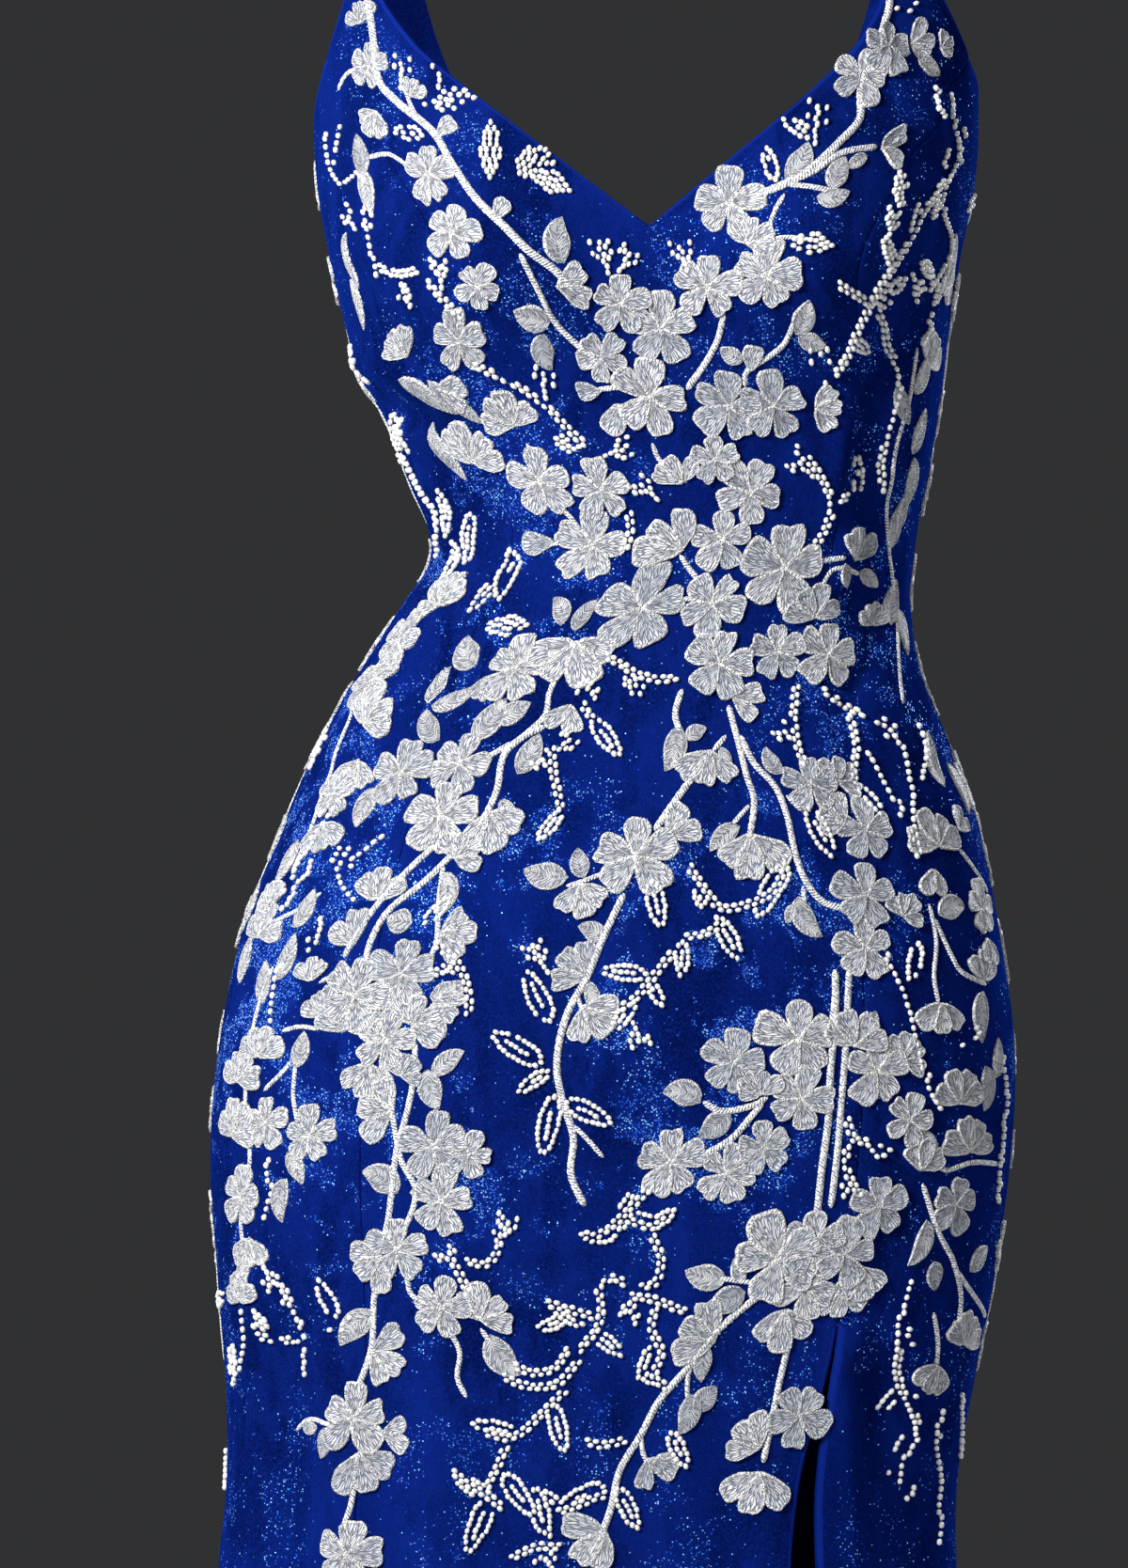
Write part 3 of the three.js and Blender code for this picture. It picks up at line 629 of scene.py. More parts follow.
BORDER = np.array([0.0, 0.1, 0.35, 0.9, 2.0, 4.5])  # the columns next to each edge of a gore
NARROW = 14.0  # where a gore is narrower than this, its borders are narrower too
ROLL = 0.9  # the radius over which a sewn or folded edge turns inwards
THICK = 1.5  # of the cloth
TOUCH = 0.02  # how far a gore's edge stays from its seam line
ZIP_GAP = 0.6  # how far each back gore stays from the centre along the zip
FAR = 1e3  # no top edge near
COLUMNS = {"front": 30, "sideFront": 26, "sideBack": 20, "back": 20}
WIDTH_SAMPLES = 13
ROW_PITCH, SKIRT_PITCH, SKIRT_FROM = 4.2, 7.0, -840
TAPER_HEIGHT, TAPER_ROWS = 36, 12  # of the rows that follow a side gore's sloping top
HEM_RISE, HEM_DEPTH = 0.45, 14  # of the turned hem
HEM_ROWS = (14.5, 12.5, 8.0)

# Ridges and grooves beside an edge: height, distance from the edge, and width
SEAM_PUFF = (0.3, 3.2, 1.6)
TURNED_RIDGE, TURNED_GROOVE = (0.45, 2.0, 1.1), (-0.25, 4.6, 0.9)
SLIT_RIDGE = (1.5, 5.2, 1.5)
SLIT_RIDGE_FADE = 70


def stepped(keys, pitch):
    """Heights from key to key, downwards, evenly spaced between each two."""
    heights = [np.linspace(a, b, max(2, math.ceil((a - b) / pitch) + 1))[:-1] for a, b in zip(keys, keys[1:])]
    return np.concatenate([*heights, [keys[-1]]])


def skirt_rows():
    """Heights down the lower skirt, closer together at the hem."""
    low = stepped([SKIRT_FROM, HEM + HEM_DEPTH + 2], SKIRT_PITCH)
    return np.concatenate([low[1:], HEM + np.array([*HEM_ROWS, *BORDER[::-1]])])


def level_rows(keys):
    """Heights of a gore's level rows, with a row at each key."""
    return np.concatenate([stepped([*keys, SLIT_TOP, SKIRT_FROM], ROW_PITCH), skirt_rows()])


def seam_angle(half, side, z, edge):
    """A princess seam's angle, less or plus what the slit takes from that edge."""
    angle = SEAMS(half + side.capitalize(), z)
    if (half, side) == ("front", "left"):
        angle = angle + (1 if edge == "side" else -1) * np.where(z < SLIT_TOP, SLIT(edge, z), 0)
    return np.radians(angle)


def spread(first, last, levels, shares, top, columns):
    """A gore's grid: angles, heights, and distances from its first edge and its last."""
    z_at = lambda share: levels[:, None] + shares[:, None] * (top(share) - SIDE_TOP)
    a = first(z_at(np.zeros(1))[:, 0])[:, None]
    b = last(z_at(np.ones(1))[:, 0])[:, None]
    samples = np.linspace(0, 1, WIDTH_SAMPLES)[None]
    line = surface(a + (b - a) * samples, z_at(samples[0]))
    width = np.linalg.norm(np.diff(line, axis=1), axis=-1).sum(1)[:, None]
    border = BORDER[None] * np.minimum(1, width / NARROW)
    inner = border[:, -1:] + (width - 2 * border[:, -1:]) * np.linspace(0, 1, columns + 2)[None, 1:-1]
    distance = np.concatenate([border, inner, (width - border)[:, ::-1]], 1)
    share = distance / width
    return a + (b - a) * share, z_at(share), distance, width - distance


def roll(distance):
    """How far an edge has turned inwards at a distance from it."""
    return ROLL - np.sqrt(ROLL ** 2 - (ROLL - np.clip(distance, 0, ROLL)) ** 2)


def swell(distance, height, at, wide):
    """A ridge or groove that runs beside an edge."""
    return height * np.exp(-(((distance - at) / wide) ** 2))


def dressed_grid(angle, z, sides, top_edge):
    """Adds to a grid its rolled edges, its puffed seams and its distance from a finished edge."""
    lift = np.zeros(z.shape)
    edge = np.minimum(z - HEM, top_edge)
    for distance, sewn, finished in sides:
        lift -= roll(distance) * (sewn | finished)
        lift += swell(distance, *SEAM_PUFF) * sewn
        lift += (swell(distance, *TURNED_RIDGE) + swell(distance, *TURNED_GROOVE)) * finished
        edge = np.where(finished, np.minimum(edge, distance), edge)
    for distance in (z - HEM, top_edge):
        lift -= roll(distance)
    lift += HEM_RISE * smooth((HEM + HEM_DEPTH - z) / 2)
    return angle, z, np.maximum(lift, -ROLL), np.maximum(edge, 0)


def half_grid(half, side):
    """Half of the front or back, from its centre line or neckline to its princess seam or armhole."""
    outward = 1 if side == "left" else -1
    back = half == "back"
    towards_centre = outward if back else -outward
    levels = level_rows([BODICE_TOP[side], ARMHOLE_SEAM, SIDE_TOP, FRONT_V, BACK_V, WAIST, ZIP_BOTTOM])

    def centre(z):
        if not back:
            return angle_of(0, z) * smooth((z - SLIT_TOP) / (FRONT_V - SLIT_TOP))
        return shifted(math.pi, z, -outward * np.where(z > ZIP_BOTTOM, ZIP_GAP, TOUCH))

    def inner(z):
        return np.where(z > LOWEST[half], angle_of(NECK[half](side, z), z, back), centre(z))

    def outer(z):
        lap = 2 * math.pi if (half, side) == ("back", "right") else 0
        seam = seam_angle(half, side, z, half)
        at_seam = shifted(seam, z, towards_centre * TOUCH)
        at_arm = angle_of(ARM[half](side, z), z, back)
        return np.where(z > ARMHOLE_SEAM, at_arm, at_seam) + lap * (z <= ARMHOLE_SEAM)

    first, last = (outer, inner) if towards_centre > 0 else (inner, outer)
    flat = lambda share: np.full(np.shape(share), float(SIDE_TOP))
    level = np.zeros(len(levels))
    angle, z, from_first, from_last = spread(first, last, levels, level, flat, COLUMNS[half])
    from_outer, from_inner = (from_first, from_last) if towards_centre > 0 else (from_last, from_first)
    slit = (z < SLIT_TOP) & ((half, side) == ("front", "left"))
    arm, neck = z > ARMHOLE_SEAM, z > LOWEST[half]
    sides = [(from_outer, ~arm & ~slit, arm | slit), (from_inner, ~neck & back, neck)]
    return dressed_grid(angle, z, sides, np.full(z.shape, FAR))


def side_grid(half, side):
    """A side gore, from its princess seam to the side seam, whose top tapers up to the armhole."""
    outward = 1 if side == "left" else -1
    towards_side = -outward if half == "back" else outward
    from_princess = (lambda share: share) if towards_side > 0 else (lambda share: 1 - share)
    dip = UNDERARM[side] - ARMHOLE_SEAM
    top = lambda share: ARMHOLE_SEAM + dip * from_princess(share) ** UNDERARM_CURVE
    rim = 1 - BORDER / TAPER_HEIGHT
    taper = np.concatenate([rim, np.linspace(rim[-1], 0, TAPER_ROWS)[1:-1]])
    levels = level_rows([SIDE_TOP, FRONT_V, BACK_V, WAIST, ZIP_BOTTOM])
    shares = np.concatenate([taper, np.zeros(len(levels))])
    levels = np.concatenate([np.full(len(taper), float(SIDE_TOP)), levels])
    princess = lambda z: shifted(seam_angle(half, side, z, "side"), z, towards_side * TOUCH)
    side_seam = lambda z: shifted(outward * math.pi / 2, z, -towards_side * TOUCH)
    first, last = (princess, side_seam) if towards_side > 0 else (side_seam, princess)
    name = "side" + half.capitalize()
    angle, z, from_first, from_last = spread(first, last, levels, shares, top, COLUMNS[name])
    at_princess, at_side = (from_first, from_last) if towards_side > 0 else (from_last, from_first)
    share = from_first / (from_first + from_last)
    slit = (z < SLIT_TOP) & ((half, side) == ("front", "left"))
    always = np.ones(z.shape, bool)
    grid = dressed_grid(angle, z, [(at_princess, ~slit, slit), (at_side, always, ~always)], top(share) - z)
    if slit.any():
        ridge = swell(at_princess, *SLIT_RIDGE) * (at_princess > ROLL)
        grid[2][:] += smooth((SLIT_TOP - z) / SLIT_RIDGE_FADE) * ridge  # beside the slit's turned edge
    return grid


def shell(name, grids, material, under):
    """A closed thin shell of cloth from grids, whose inner face lies at one depth under the outer face."""
    flat, quads, count = [], [], 0
    for grid in grids:
        rows, columns = grid[0].shape
        number = count + np.arange(rows * columns).reshape(rows, columns)
        corners = [number[1:, :-1], number[1:, 1:], number[:-1, 1:], number[:-1, :-1]]
        quads.append(np.stack(corners, -1).reshape(-1, 4))
        flat.append(np.stack([part.ravel() for part in grid]))
        count += rows * columns
    angle, z, lift, edge = np.concatenate(flat, 1)
    quads = np.concatenate(quads)
    keys = np.round(np.stack([angle * 1e5, z * 1e2], 1)).astype(np.int64)  # merges points of two grids
    _, kept, merged = np.unique(keys, axis=0, return_index=True, return_inverse=True)
    quads = merged.reshape(-1)[quads]
    angle, z, lift, edge = angle[kept], z[kept], lift[kept], edge[kept]
    count = len(kept)
    runs = np.concatenate([quads[:, [i, (i + 1) % 4]] for i in range(4)])
    codes = runs[:, 0] * count + runs[:, 1]
    rim = runs[~np.isin(codes, runs[:, 1] * count + runs[:, 0])]
    walls = np.stack([rim[:, 1], rim[:, 0], rim[:, 0] + count, rim[:, 1] + count], 1)
    outer, inner = laid(angle, z, lift), laid(angle, z, np.full(count, under))
    faces = [np.concatenate([quads, quads[:, ::-1] + count, walls])]
    edges = np.concatenate([edge, np.zeros(count)])
    return mesh_piece(name, np.concatenate([outer, inner]), faces, material, sharp=50, edge=edges)


# ---------------------------------------------------------------- the embroidery's layout

# Blossoms: x, z, size, the way the first petal points in degrees clockwise from upwards, and petals.
# Five petals make a whole blossom round its place, and fewer make a fan that opens that way.
BLOOMS = (
    (-126, -147, 24, -20, 3), (-122, -166, 32, 10, 5), (-119, -186, 28, -150, 3), (-104, -180, 20, 20, 3),
    (-93, -197, 27, 60, 1), (-96, -214, 40, 0, 5), (-86, -240, 38, 20, 5), (-68, -235, 26, 25, 1),
    (-75, -263, 30, 40, 5), (-83, -286, 40, 0, 5), (-41, -263, 36, 90, 2), (-14, -270, 38, 10, 5),
    (4, -281, 46, 0, 5), (-22, -293, 34, -30, 5), (-1, -310, 50, 20, 5), (-22, -307, 26, -95, 1),
    (-13, -313, 32, -150, 1), (-106, -292, 34, -30, 3), (-92, -306, 30, 110, 2), (102, -158, 36, 10, 5),
    (112, -156, 26, 80, 3), (125, -158, 20, 60, 3), (90, -171, 38, 20, 5), (99, -203, 34, 92, 2),
    (33, -227, 46, 0, 5), (41, -245, 30, 30, 4), (49, -258, 46, 10, 5), (24, -263, 44, 5, 5),
    (33, -314, 46, 15, 5), (52, -314, 42, 0, 5), (70, -314, 28, 90, 3), (42, -299, 26, 5, 1),
    (-59, -322, 36, -20, 4), (-77, -338, 42, 20, 4), (-48, -346, 42, 0, 5), (-22, -350, 40, 0, 5),
    (-26, -374, 46, 10, 5), (-42, -373, 34, -92, 1), (-4, -401, 56, 0, 5), (13, -376, 46, -50, 3),
    (30, -372, 42, 0, 5), (26, -399, 42, 30, 5), (13, -347, 30, -20, 3), (27, -337, 32, 0, 5),
    (42, -351, 44, 30, 5), (57, -384, 56, 0, 5), (88, -380, 36, 5, 3), (70, -405, 32, -10, 4),
    (54, -420, 38, 0, 5), (76, -421, 44, 10, 5), (95, -408, 24, 0, 4), (29, -425, 46, 10, 5),
    (35, -440, 32, 110, 2), (-59, -427, 42, 0, 5), (-33, -416, 46, 180, 4), (-92, -400, 34, -20, 4),
    (-72, -431, 24, 150, 3), (-35, -443, 28, -160, 2), (25, -463, 40, 195, 3), (-108, -472, 42, 0, 5),
    (-83, -468, 40, 20, 5), (-91, -491, 48, 0, 5), (-70, -489, 40, 165, 3), (-85, -509, 28, 30, 4),
    (-119, -527, 34, 0, 3), (-128, -546, 38, -40, 2), (-108, -559, 46, 0, 5), (-128, -568, 46, 20, 5),
    (-131, -583, 40, 0, 4), (-142, -577, 28, -30, 3), (-115, -588, 40, 10, 5), (-104, -581, 36, 40, 4),
    (-95, -572, 34, 120, 3), (-122, -598, 36, 185, 3), (-108, -603, 24, 30, 4), (-147, -562, 24, -10, 3),
    (-91, -541, 34, 90, 3), (-112, -618, 42, -80, 3), (-94, -633, 44, 0, 5), (-79, -637, 32, 20, 5),
    (-148, -629, 38, 0, 5), (-91, -657, 44, 10, 5), (-110, -678, 42, 0, 5), (-117, -681, 36, -130, 3),
    (-91, -703, 40, 10, 5), (-74, -708, 36, 20, 4), (-121, -722, 40, 110, 3), (-129, -751, 46, 0, 5),
    (-116, -757, 30, 95, 2), (-127, -766, 42, 165, 3), (-132, -810, 46, 10, 5), (-7, -508, 54, 0, 5),
    (6, -499, 36, 55, 2), (43, -499, 46, 180, 3), (68, -477, 38, 0, 5), (80, -476, 26, 40, 4),
    (92, -497, 40, 0, 5), (83, -494, 30, -60, 3), (92, -525, 44, 10, 5), (108, -534, 26, 30, 4),
    (92, -548, 40, 0, 5), (-28, -560, 38, -50, 3), (-30, -573, 38, 135, 3), (-31, -520, 34, 165, 3),
    (63, -587, 54, 0, 5), (35, -597, 44, 10, 5), (64, -613, 42, 20, 5), (47, -611, 26, -20, 4),
    (8, -640, 46, 0, 5), (32, -645, 38, 20, 5), (48, -634, 34, -10, 5), (87, -590, 36, 10, 4),
    (97, -601, 46, 0, 5), (108, -596, 28, 40, 4), (111, -622, 34, 20, 5), (54, -682, 60, -20, 5),
    (66, -694, 46, 30, 5), (57, -704, 42, 175, 3), (70, -675, 44, 0, 5), (83, -680, 44, 10, 5),
    (82, -694, 34, 180, 3), (91, -686, 34, 170, 3), (98, -659, 42, 0, 5), (131, -659, 38, 10, 5),
    (138, -636, 38, 0, 4), (27, -717, 42, -60, 3), (63, -750, 44, 40, 5), (46, -764, 36, -50, 3),
    (47, -774, 46, 190, 3), (-2, -768, 34, 150, 2), (-20, -799, 42, -130, 3), (135, -720, 36, 10, 4),
    (124, -729, 32, -160, 3), (-109, -415, 40, 10, 5), (-120, -432, 40, -20, 5), (-124, -451, 38, 30, 4),
    (-127, -467, 36, 180, 3), (-137, -481, 34, 0, 5), (-142, -494, 34, 160, 3), (-166, -532, 30, -20, 3),
    (-170, -543, 36, 0, 4), (-170, -595, 34, 0, 4), (-179, -606, 34, 10, 4), (-181, -630, 40, 20, 4),
    (-167, -624, 36, 0, 5), (-178, -656, 38, 10, 5), (-174, -674, 34, 180, 3), (-178, -701, 30, 0, 4),
    (127, -262, 30, 60, 3), (120, -296, 36, 20, 3), (124, -504, 38, 0, 4), (133, -497, 24, 40, 2),
    (122, -514, 30, 190, 2), (143, -531, 36, 0, 5), (145, -544, 28, 170, 2), (125, -572, 34, 180, 3),
    (144, -562, 32, 10, 3), (133, -615, 36, 0, 4), (116, -644, 32, 10, 3),
)

# Leaves: x, z, length, the way the tip points, and width
LEAVES = (
    (-126, -205, 24, -10, 12), (-123, -221, 26, 170, 13), (-52, -276, 20, -75, 14), (-46, -291, 19, 175, 12),
    (-40, -243, 25, 0, 15), (-97, -309, 32, 125, 12), (-84, -312, 30, 140, 10), (-90, -333, 36, 150, 11),
    (63, -209, 23, 30, 13), (80, -214, 19, 20, 12), (78, -224, 18, 80, 10), (34, -292, 14, -60, 9),
    (65, -276, 19, 20, 12), (69, -286, 17, 110, 9), (84, -387, 15, 150, 7), (94, -388, 17, 120, 8),
    (120, -166, 20, 120, 9), (88, -209, 14, -120, 7), (-79, -420, 21, -40, 14), (-40, -402, 18, -35, 9),
    (-29, -404, 18, 20, 9), (2, -390, 16, 10, 8), (9, -462, 25, 195, 12), (19, -455, 13, 60, 8),
    (31, -467, 15, 175, 7), (52, -467, 16, -30, 9), (-85, -440, 22, 60, 10), (-70, -449, 25, 30, 15),
    (-60, -446, 20, 60, 12), (-53, -464, 23, 20, 13), (-96, -452, 21, -40, 12), (-91, -434, 20, 10, 9),
    (-62, -488, 15, 130, 7), (-89, -524, 23, 170, 11), (-109, -536, 15, -80, 13), (-89, -566, 18, 60, 12),
    (-152, -592, 20, 10, 11), (-88, -597, 21, 50, 11), (-95, -609, 23, 160, 13), (-154, -643, 20, 150, 10),
    (-117, -648, 23, -60, 15), (-160, -657, 24, 190, 11), (-64, -724, 28, 140, 15),
    (-128, -712, 27, -130, 14), (-142, -762, 17, 190, 11), (-148, -755, 14, -80, 7), (-46, -516, 25, -80, 14),
    (-31, -511, 17, -20, 10), (-26, -541, 17, -60, 10), (-25, -569, 18, 160, 8), (31, -500, 21, -130, 10),
    (67, -535, 25, 150, 12), (60, -533, 12, -150, 6), (13, -611, 21, -75, 14), (27, -624, 21, -130, 13),
    (94, -582, 19, 25, 10), (37, -687, 15, -20, 8), (23, -689, 23, -80, 14), (32, -700, 22, -120, 14),
    (22, -727, 20, 185, 10), (15, -749, 22, 190, 12), (23, -742, 17, 40, 12), (6, -771, 16, 70, 12),
    (142, -683, 20, 50, 12), (116, -676, 26, -160, 11), (122, -690, 17, 160, 10), (46, -750, 9, -90, 5),
    (-124, -487, 22, 190, 13), (-158, -511, 24, 195, 11), (-158, -552, 26, 15, 11), (-176, -686, 26, 10, 12),
    (-150, -531, 22, 20, 11), (-146, -455, 24, 10, 11), (-139, -440, 22, -25, 11), (-133, -412, 22, 20, 10),
    (-168, -563, 24, -10, 11), (117, -299, 26, 30, 11), (109, -313, 24, 150, 10), (116, -324, 26, 20, 11),
    (113, -346, 28, 160, 11), (108, -358, 22, 10, 10), (105, -366, 24, 190, 10), (104, -398, 26, 20, 11),
    (109, -411, 26, 165, 10), (115, -391, 20, 40, 10), (117, -424, 24, 15, 10), (129, -252, 34, 10, 17),
    (131, -272, 32, 170, 17), (122, -466, 30, 5, 11), (134, -479, 28, 170, 11), (130, -531, 22, 80, 13),
    (143, -578, 28, 190, 13), (-162, -500, 22, 20, 12), (-176, -553, 26, 5, 12), (-173, -528, 22, -15, 11),
    (145, -609, 24, 180, 12), (119, -633, 18, -20, 10), (150, -596, 22, 10, 10), (-131, -250, 30, 10, 9),
    (-127, -269, 28, 170, 9),
)

# Vines: width, then places along them
VINES = (
    (5.6, (-124, -128), (-121, -150), (-118, -172), (-110, -182), (-95, -195), (-86, -210), (-76, -225),
     (-64, -237), (-53, -248), (-42, -256), (-33, -266)),
    (4.2, (-57, -249), (-50, -263), (-42, -278), (-31, -289), (-22, -296)),
    (3.4, (-123, -206), (-113, -205), (-103, -212)), (3.2, (-107, -176), (-103, -186), (-98, -193)),
    (3.2, (-136, -176), (-132, -169), (-124, -166)), (3.4, (-24, -307), (-14, -306), (-8, -307)),
    (5.4, (104, -114), (103, -130), (101, -146), (92, -170), (90, -182), (89, -191), (81, -200), (72, -209),
     (63, -216), (52, -221), (44, -224)), (4.2, (97, -202), (82, -205), (70, -213), (62, -217)),
    (3.4, (78, -222), (68, -220), (58, -219)), (3.4, (57, -223), (53, -230), (50, -238)),
    (3.0, (53, -242), (60, -242), (68, -243)), (4.2, (31, -274), (28, -286), (22, -297), (15, -307)),
    (3.6, (40, -306), (41, -299), (50, -293), (57, -287), (61, -278)),
    (3.6, (-41, -356), (-35, -362), (-30, -370)), (3.4, (0, -330), (3, -337), (9, -343), (15, -347)),
    (3.4, (6, -398), (15, -397), (20, -398)), (3.4, (12, -378), (16, -384), (21, -390)),
    (3.4, (-54, -330), (-50, -340)), (3.0, (-46, -374), (-36, -372)),
    (3.6, (-70, -425), (-60, -427), (-50, -425), (-41, -420)), (3.6, (66, -381), (76, -380), (84, -379)),
    (3.2, (72, -396), (79, -384), (90, -386)),
    (4.0, (-38, -425), (-44, -437), (-46, -447), (-54, -455), (-64, -463)),
    (4.8, (-46, -452), (-56, -457), (-64, -465), (-67, -480), (-74, -494), (-82, -503), (-98, -519),
     (-113, -531), (-121, -544), (-124, -556)),
    (4.6, (-92, -502), (-106, -515), (-116, -526), (-127, -541), (-133, -552)),
    (3.6, (-90, -512), (-92, -528), (-93, -545), (-98, -556)), (4.0, (-60, -459), (-72, -466), (-80, -470)),
    (3.4, (-102, -470), (-94, -468), (-88, -467)),
    (4.4, (-102, -588), (-103, -605), (-106, -620), (-110, -634), (-112, -650), (-114, -666), (-118, -682),
     (-120, -700), (-121, -720), (-127, -738)),
    (4.0, (-115, -596), (-113, -612), (-111, -626), (-108, -640), (-102, -652), (-105, -665), (-112, -676)),
    (3.4, (-154, -598), (-155, -612), (-153, -624)), (3.4, (-168, -610), (-160, -602), (-156, -597)),
    (3.2, (-144, -563), (-134, -558)), (3.2, (-160, -584), (-152, -582), (-144, -583)),
    (3.6, (-106, -686), (-104, -697), (-95, -702)), (3.6, (-88, -712), (-83, -722), (-84, -733), (-80, -742)),
    (3.4, (-74, -712), (-69, -719)), (4.0, (-128, -774), (-130, -788), (-134, -800)),
    (3.2, (-138, -754), (-148, -752), (-154, -757)), (4.8, (18, -473), (8, -487), (1, -497)),
    (5.0, (-12, -524), (-21, -543), (-28, -560), (-37, -577), (-41, -596), (-39, -612), (-34, -629),
     (-35, -645), (-29, -659)), (3.4, (-37, -521), (-30, -519), (-20, -515)), (3.2, (-33, -566), (-30, -575)),
    (3.2, (-34, -624), (-28, -630), (-21, -638)), (4.4, (13, -436), (10, -447), (13, -456)),
    (4.4, (33, -443), (37, -458), (41, -474), (44, -484), (42, -500)),
    (4.4, (38, -456), (44, -468), (53, -478), (58, -490), (62, -508), (67, -520), (74, -528), (84, -531)),
    (3.6, (32, -456), (26, -463)), (3.2, (58, -482), (65, -489)), (3.2, (65, -521), (66, -530)),
    (3.2, (42, -486), (34, -495)), (4.4, (22, -614), (30, -618), (42, -616), (50, -612)),
    (4.4, (20, -638), (34, -630), (43, -620), (48, -614)), (3.4, (40, -604), (48, -604), (54, -609)),
    (5.0, (79, -557), (79, -577), (77, -600), (76, -622), (73, -645), (71, -664)),
    (4.6, (85, -557), (84, -580), (82, -610), (80, -635), (77, -660)),
    (4.0, (70, -590), (77, -580), (79, -566)),
    (4.8, (48, -696), (30, -711), (16, -728), (3, -743), (-5, -758), (-14, -773), (-18, -790), (-24, -806)),
    (3.6, (28, -690), (42, -692), (50, -694)), (4.4, (60, -714), (55, -735), (52, -750), (48, -770)),
    (3.4, (22, -720), (16, -730), (15, -742)), (3.4, (-5, -757), (-4, -765), (-2, -770)),
    (4.0, (117, -650), (124, -671), (131, -685), (134, -700), (132, -716)),
    (3.6, (132, -688), (139, -698), (145, -709)), (3.6, (122, -706), (124, -720), (123, -732)),
    (3.6, (120, -628), (122, -638), (127, -644), (139, -641), (150, -642)),
    (3.2, (115, -288), (112, -308), (105, -336), (102, -365), (105, -394), (107, -422), (109, -442)),
    (3.2, (-164, -537), (-152, -531), (-143, -524)), (3.2, (133, -505), (140, -514), (146, -524)),
    (3.4, (120, -529), (123, -545), (122, -560), (124, -572)),
    (3.6, (122, -535), (130, -552), (135, -559), (145, -564)),
    (3.2, (-118, -424), (-130, -446), (-138, -468), (-146, -492), (-156, -516)),
    (3.4, (-164, -556), (-172, -580), (-176, -612), (-174, -640), (-178, -668), (-175, -700)),
)

# Chains of beads: places along them
CHAINS = (
    ((-113, -316), (-111, -328), (-104, -342), (-96, -355), (-93, -364), (-93, -377)),
    ((-124, -228), (-121, -243), (-119, -257)), ((-117, -254), (-109, -257), (-101, -256)),
    ((-96, -261), (-90, -268), (-82, -275)),
    ((-76, -296), (-64, -302), (-53, -308), (-43, -316), (-36, -324), (-29, -330)),
    ((-141, -195), (-139, -208), (-133, -217), (-126, -213)), ((-135, -192), (-137, -205), (-135, -216)),
    ((-10, -360), (-9, -368), (-12, -376)),
    ((131, -190), (133, -203), (127, -217), (118, -228), (112, -240), (105, -252), (98, -262), (93, -272),
     (88, -282), (84, -292), (78, -301)),
    ((97, -273), (101, -286), (107, -300), (104, -316), (100, -332), (99, -350)),
    ((80, -262), (89, -267), (97, -271)),
    ((62, -332), (70, -340), (75, -348), (78, -356), (74, -368), (70, -374)),
    ((77, -356), (83, -353), (88, -352)), ((62, -435), (61, -450), (63, -462), (66, -468)),
    ((74, -437), (81, -442), (89, -446), (98, -450), (104, -454), (108, -462), (111, -476), (112, -492),
     (115, -508)), ((83, -444), (88, -458), (87, -472), (90, -480)),
    ((90, -459), (97, -468), (103, -480), (108, -490)), ((-43, -462), (-42, -474), (-39, -488)),
    ((-30, -443), (-25, -450)), ((-20, -422), (-12, -426), (-6, -430), (4, -432), (10, -431)),
    ((-117, -499), (-124, -505), (-131, -510)), ((-135, -512), (-133, -520), (-127, -527)),
    ((-93, -546), (-84, -554), (-79, -566), (-79, -576)),
    ((16, -513), (22, -521), (29, -530), (41, -529), (52, -523), (58, -512)),
    ((15, -543), (24, -541), (30, -537)), ((9, -549), (2, -558), (-6, -568), (-13, -573)),
    ((101, -551), (107, -562), (112, -575), (115, -588), (117, -600)),
    ((84, -622), (87, -630), (93, -632), (98, -637)), ((84, -634), (84, -644), (88, -652)),
    ((-2, -652), (-10, -660), (-18, -668), (-28, -674)), ((-12, -664), (-2, -668), (4, -666)),
    ((0, -672), (4, -682), (2, -691), (-4, -694)), ((-9, -698), (0, -699), (8, -702), (14, -704)),
    ((1, -703), (0, -713), (4, -722), (1, -732), (6, -737)),
    ((-23, -694), (-22, -704), (-24, -712), (-31, -721)), ((-45, -701), (-34, -704), (-24, -707)),
    ((-12, -692), (-18, -690), (-23, -696)), ((-64, -733), (-52, -737), (-40, -735), (-32, -726)),
    ((-59, -728), (-51, -731), (-42, -729), (-36, -721)),
    ((-38, -739), (-46, -747), (-54, -755), (-62, -759), (-72, -757)),
    ((-62, -760), (-66, -770), (-71, -780)), ((-12, -760), (-20, -762), (-28, -761)),
    ((-88, -680), (-83, -688), (-79, -697)), ((-80, -683), (-71, -684), (-66, -677), (-67, -670)),
    ((-158, -697), (-153, -707), (-149, -716), (-138, -714), (-130, -709)),
    ((111, -692), (108, -704), (107, -716), (106, -728), (108, -739), (113, -748), (115, -758), (110, -768),
     (108, -781)), ((126, -736), (125, -750), (124, -764), (126, -780), (125, -794), (124, -806)),
    ((-170, -716), (-160, -718), (-152, -717)), ((-40, -791), (-30, -787), (-20, -783)),
    ((-60, -811), (-50, -806), (-40, -806)), ((-86, -774), (-78, -780), (-72, -783), (-65, -789)),
    ((-136, -484), (-141, -492), (-147, -500)), ((-161, -556), (-163, -568), (-164, -581)),
    ((-166, -640), (-165, -652), (-168, -664)), ((-178, -706), (-177, -719), (-179, -732)),
    ((118, -600), (121, -610), (126, -618)),
    ((152, -596), (154, -610), (152, -630), (151, -646), (150, -658)),
    ((126, -229), (130, -242), (126, -252), (120, -262)), ((134, -743), (135, -757), (134, -770)),
    ((115, -452), (118, -462), (116, -474)),
)

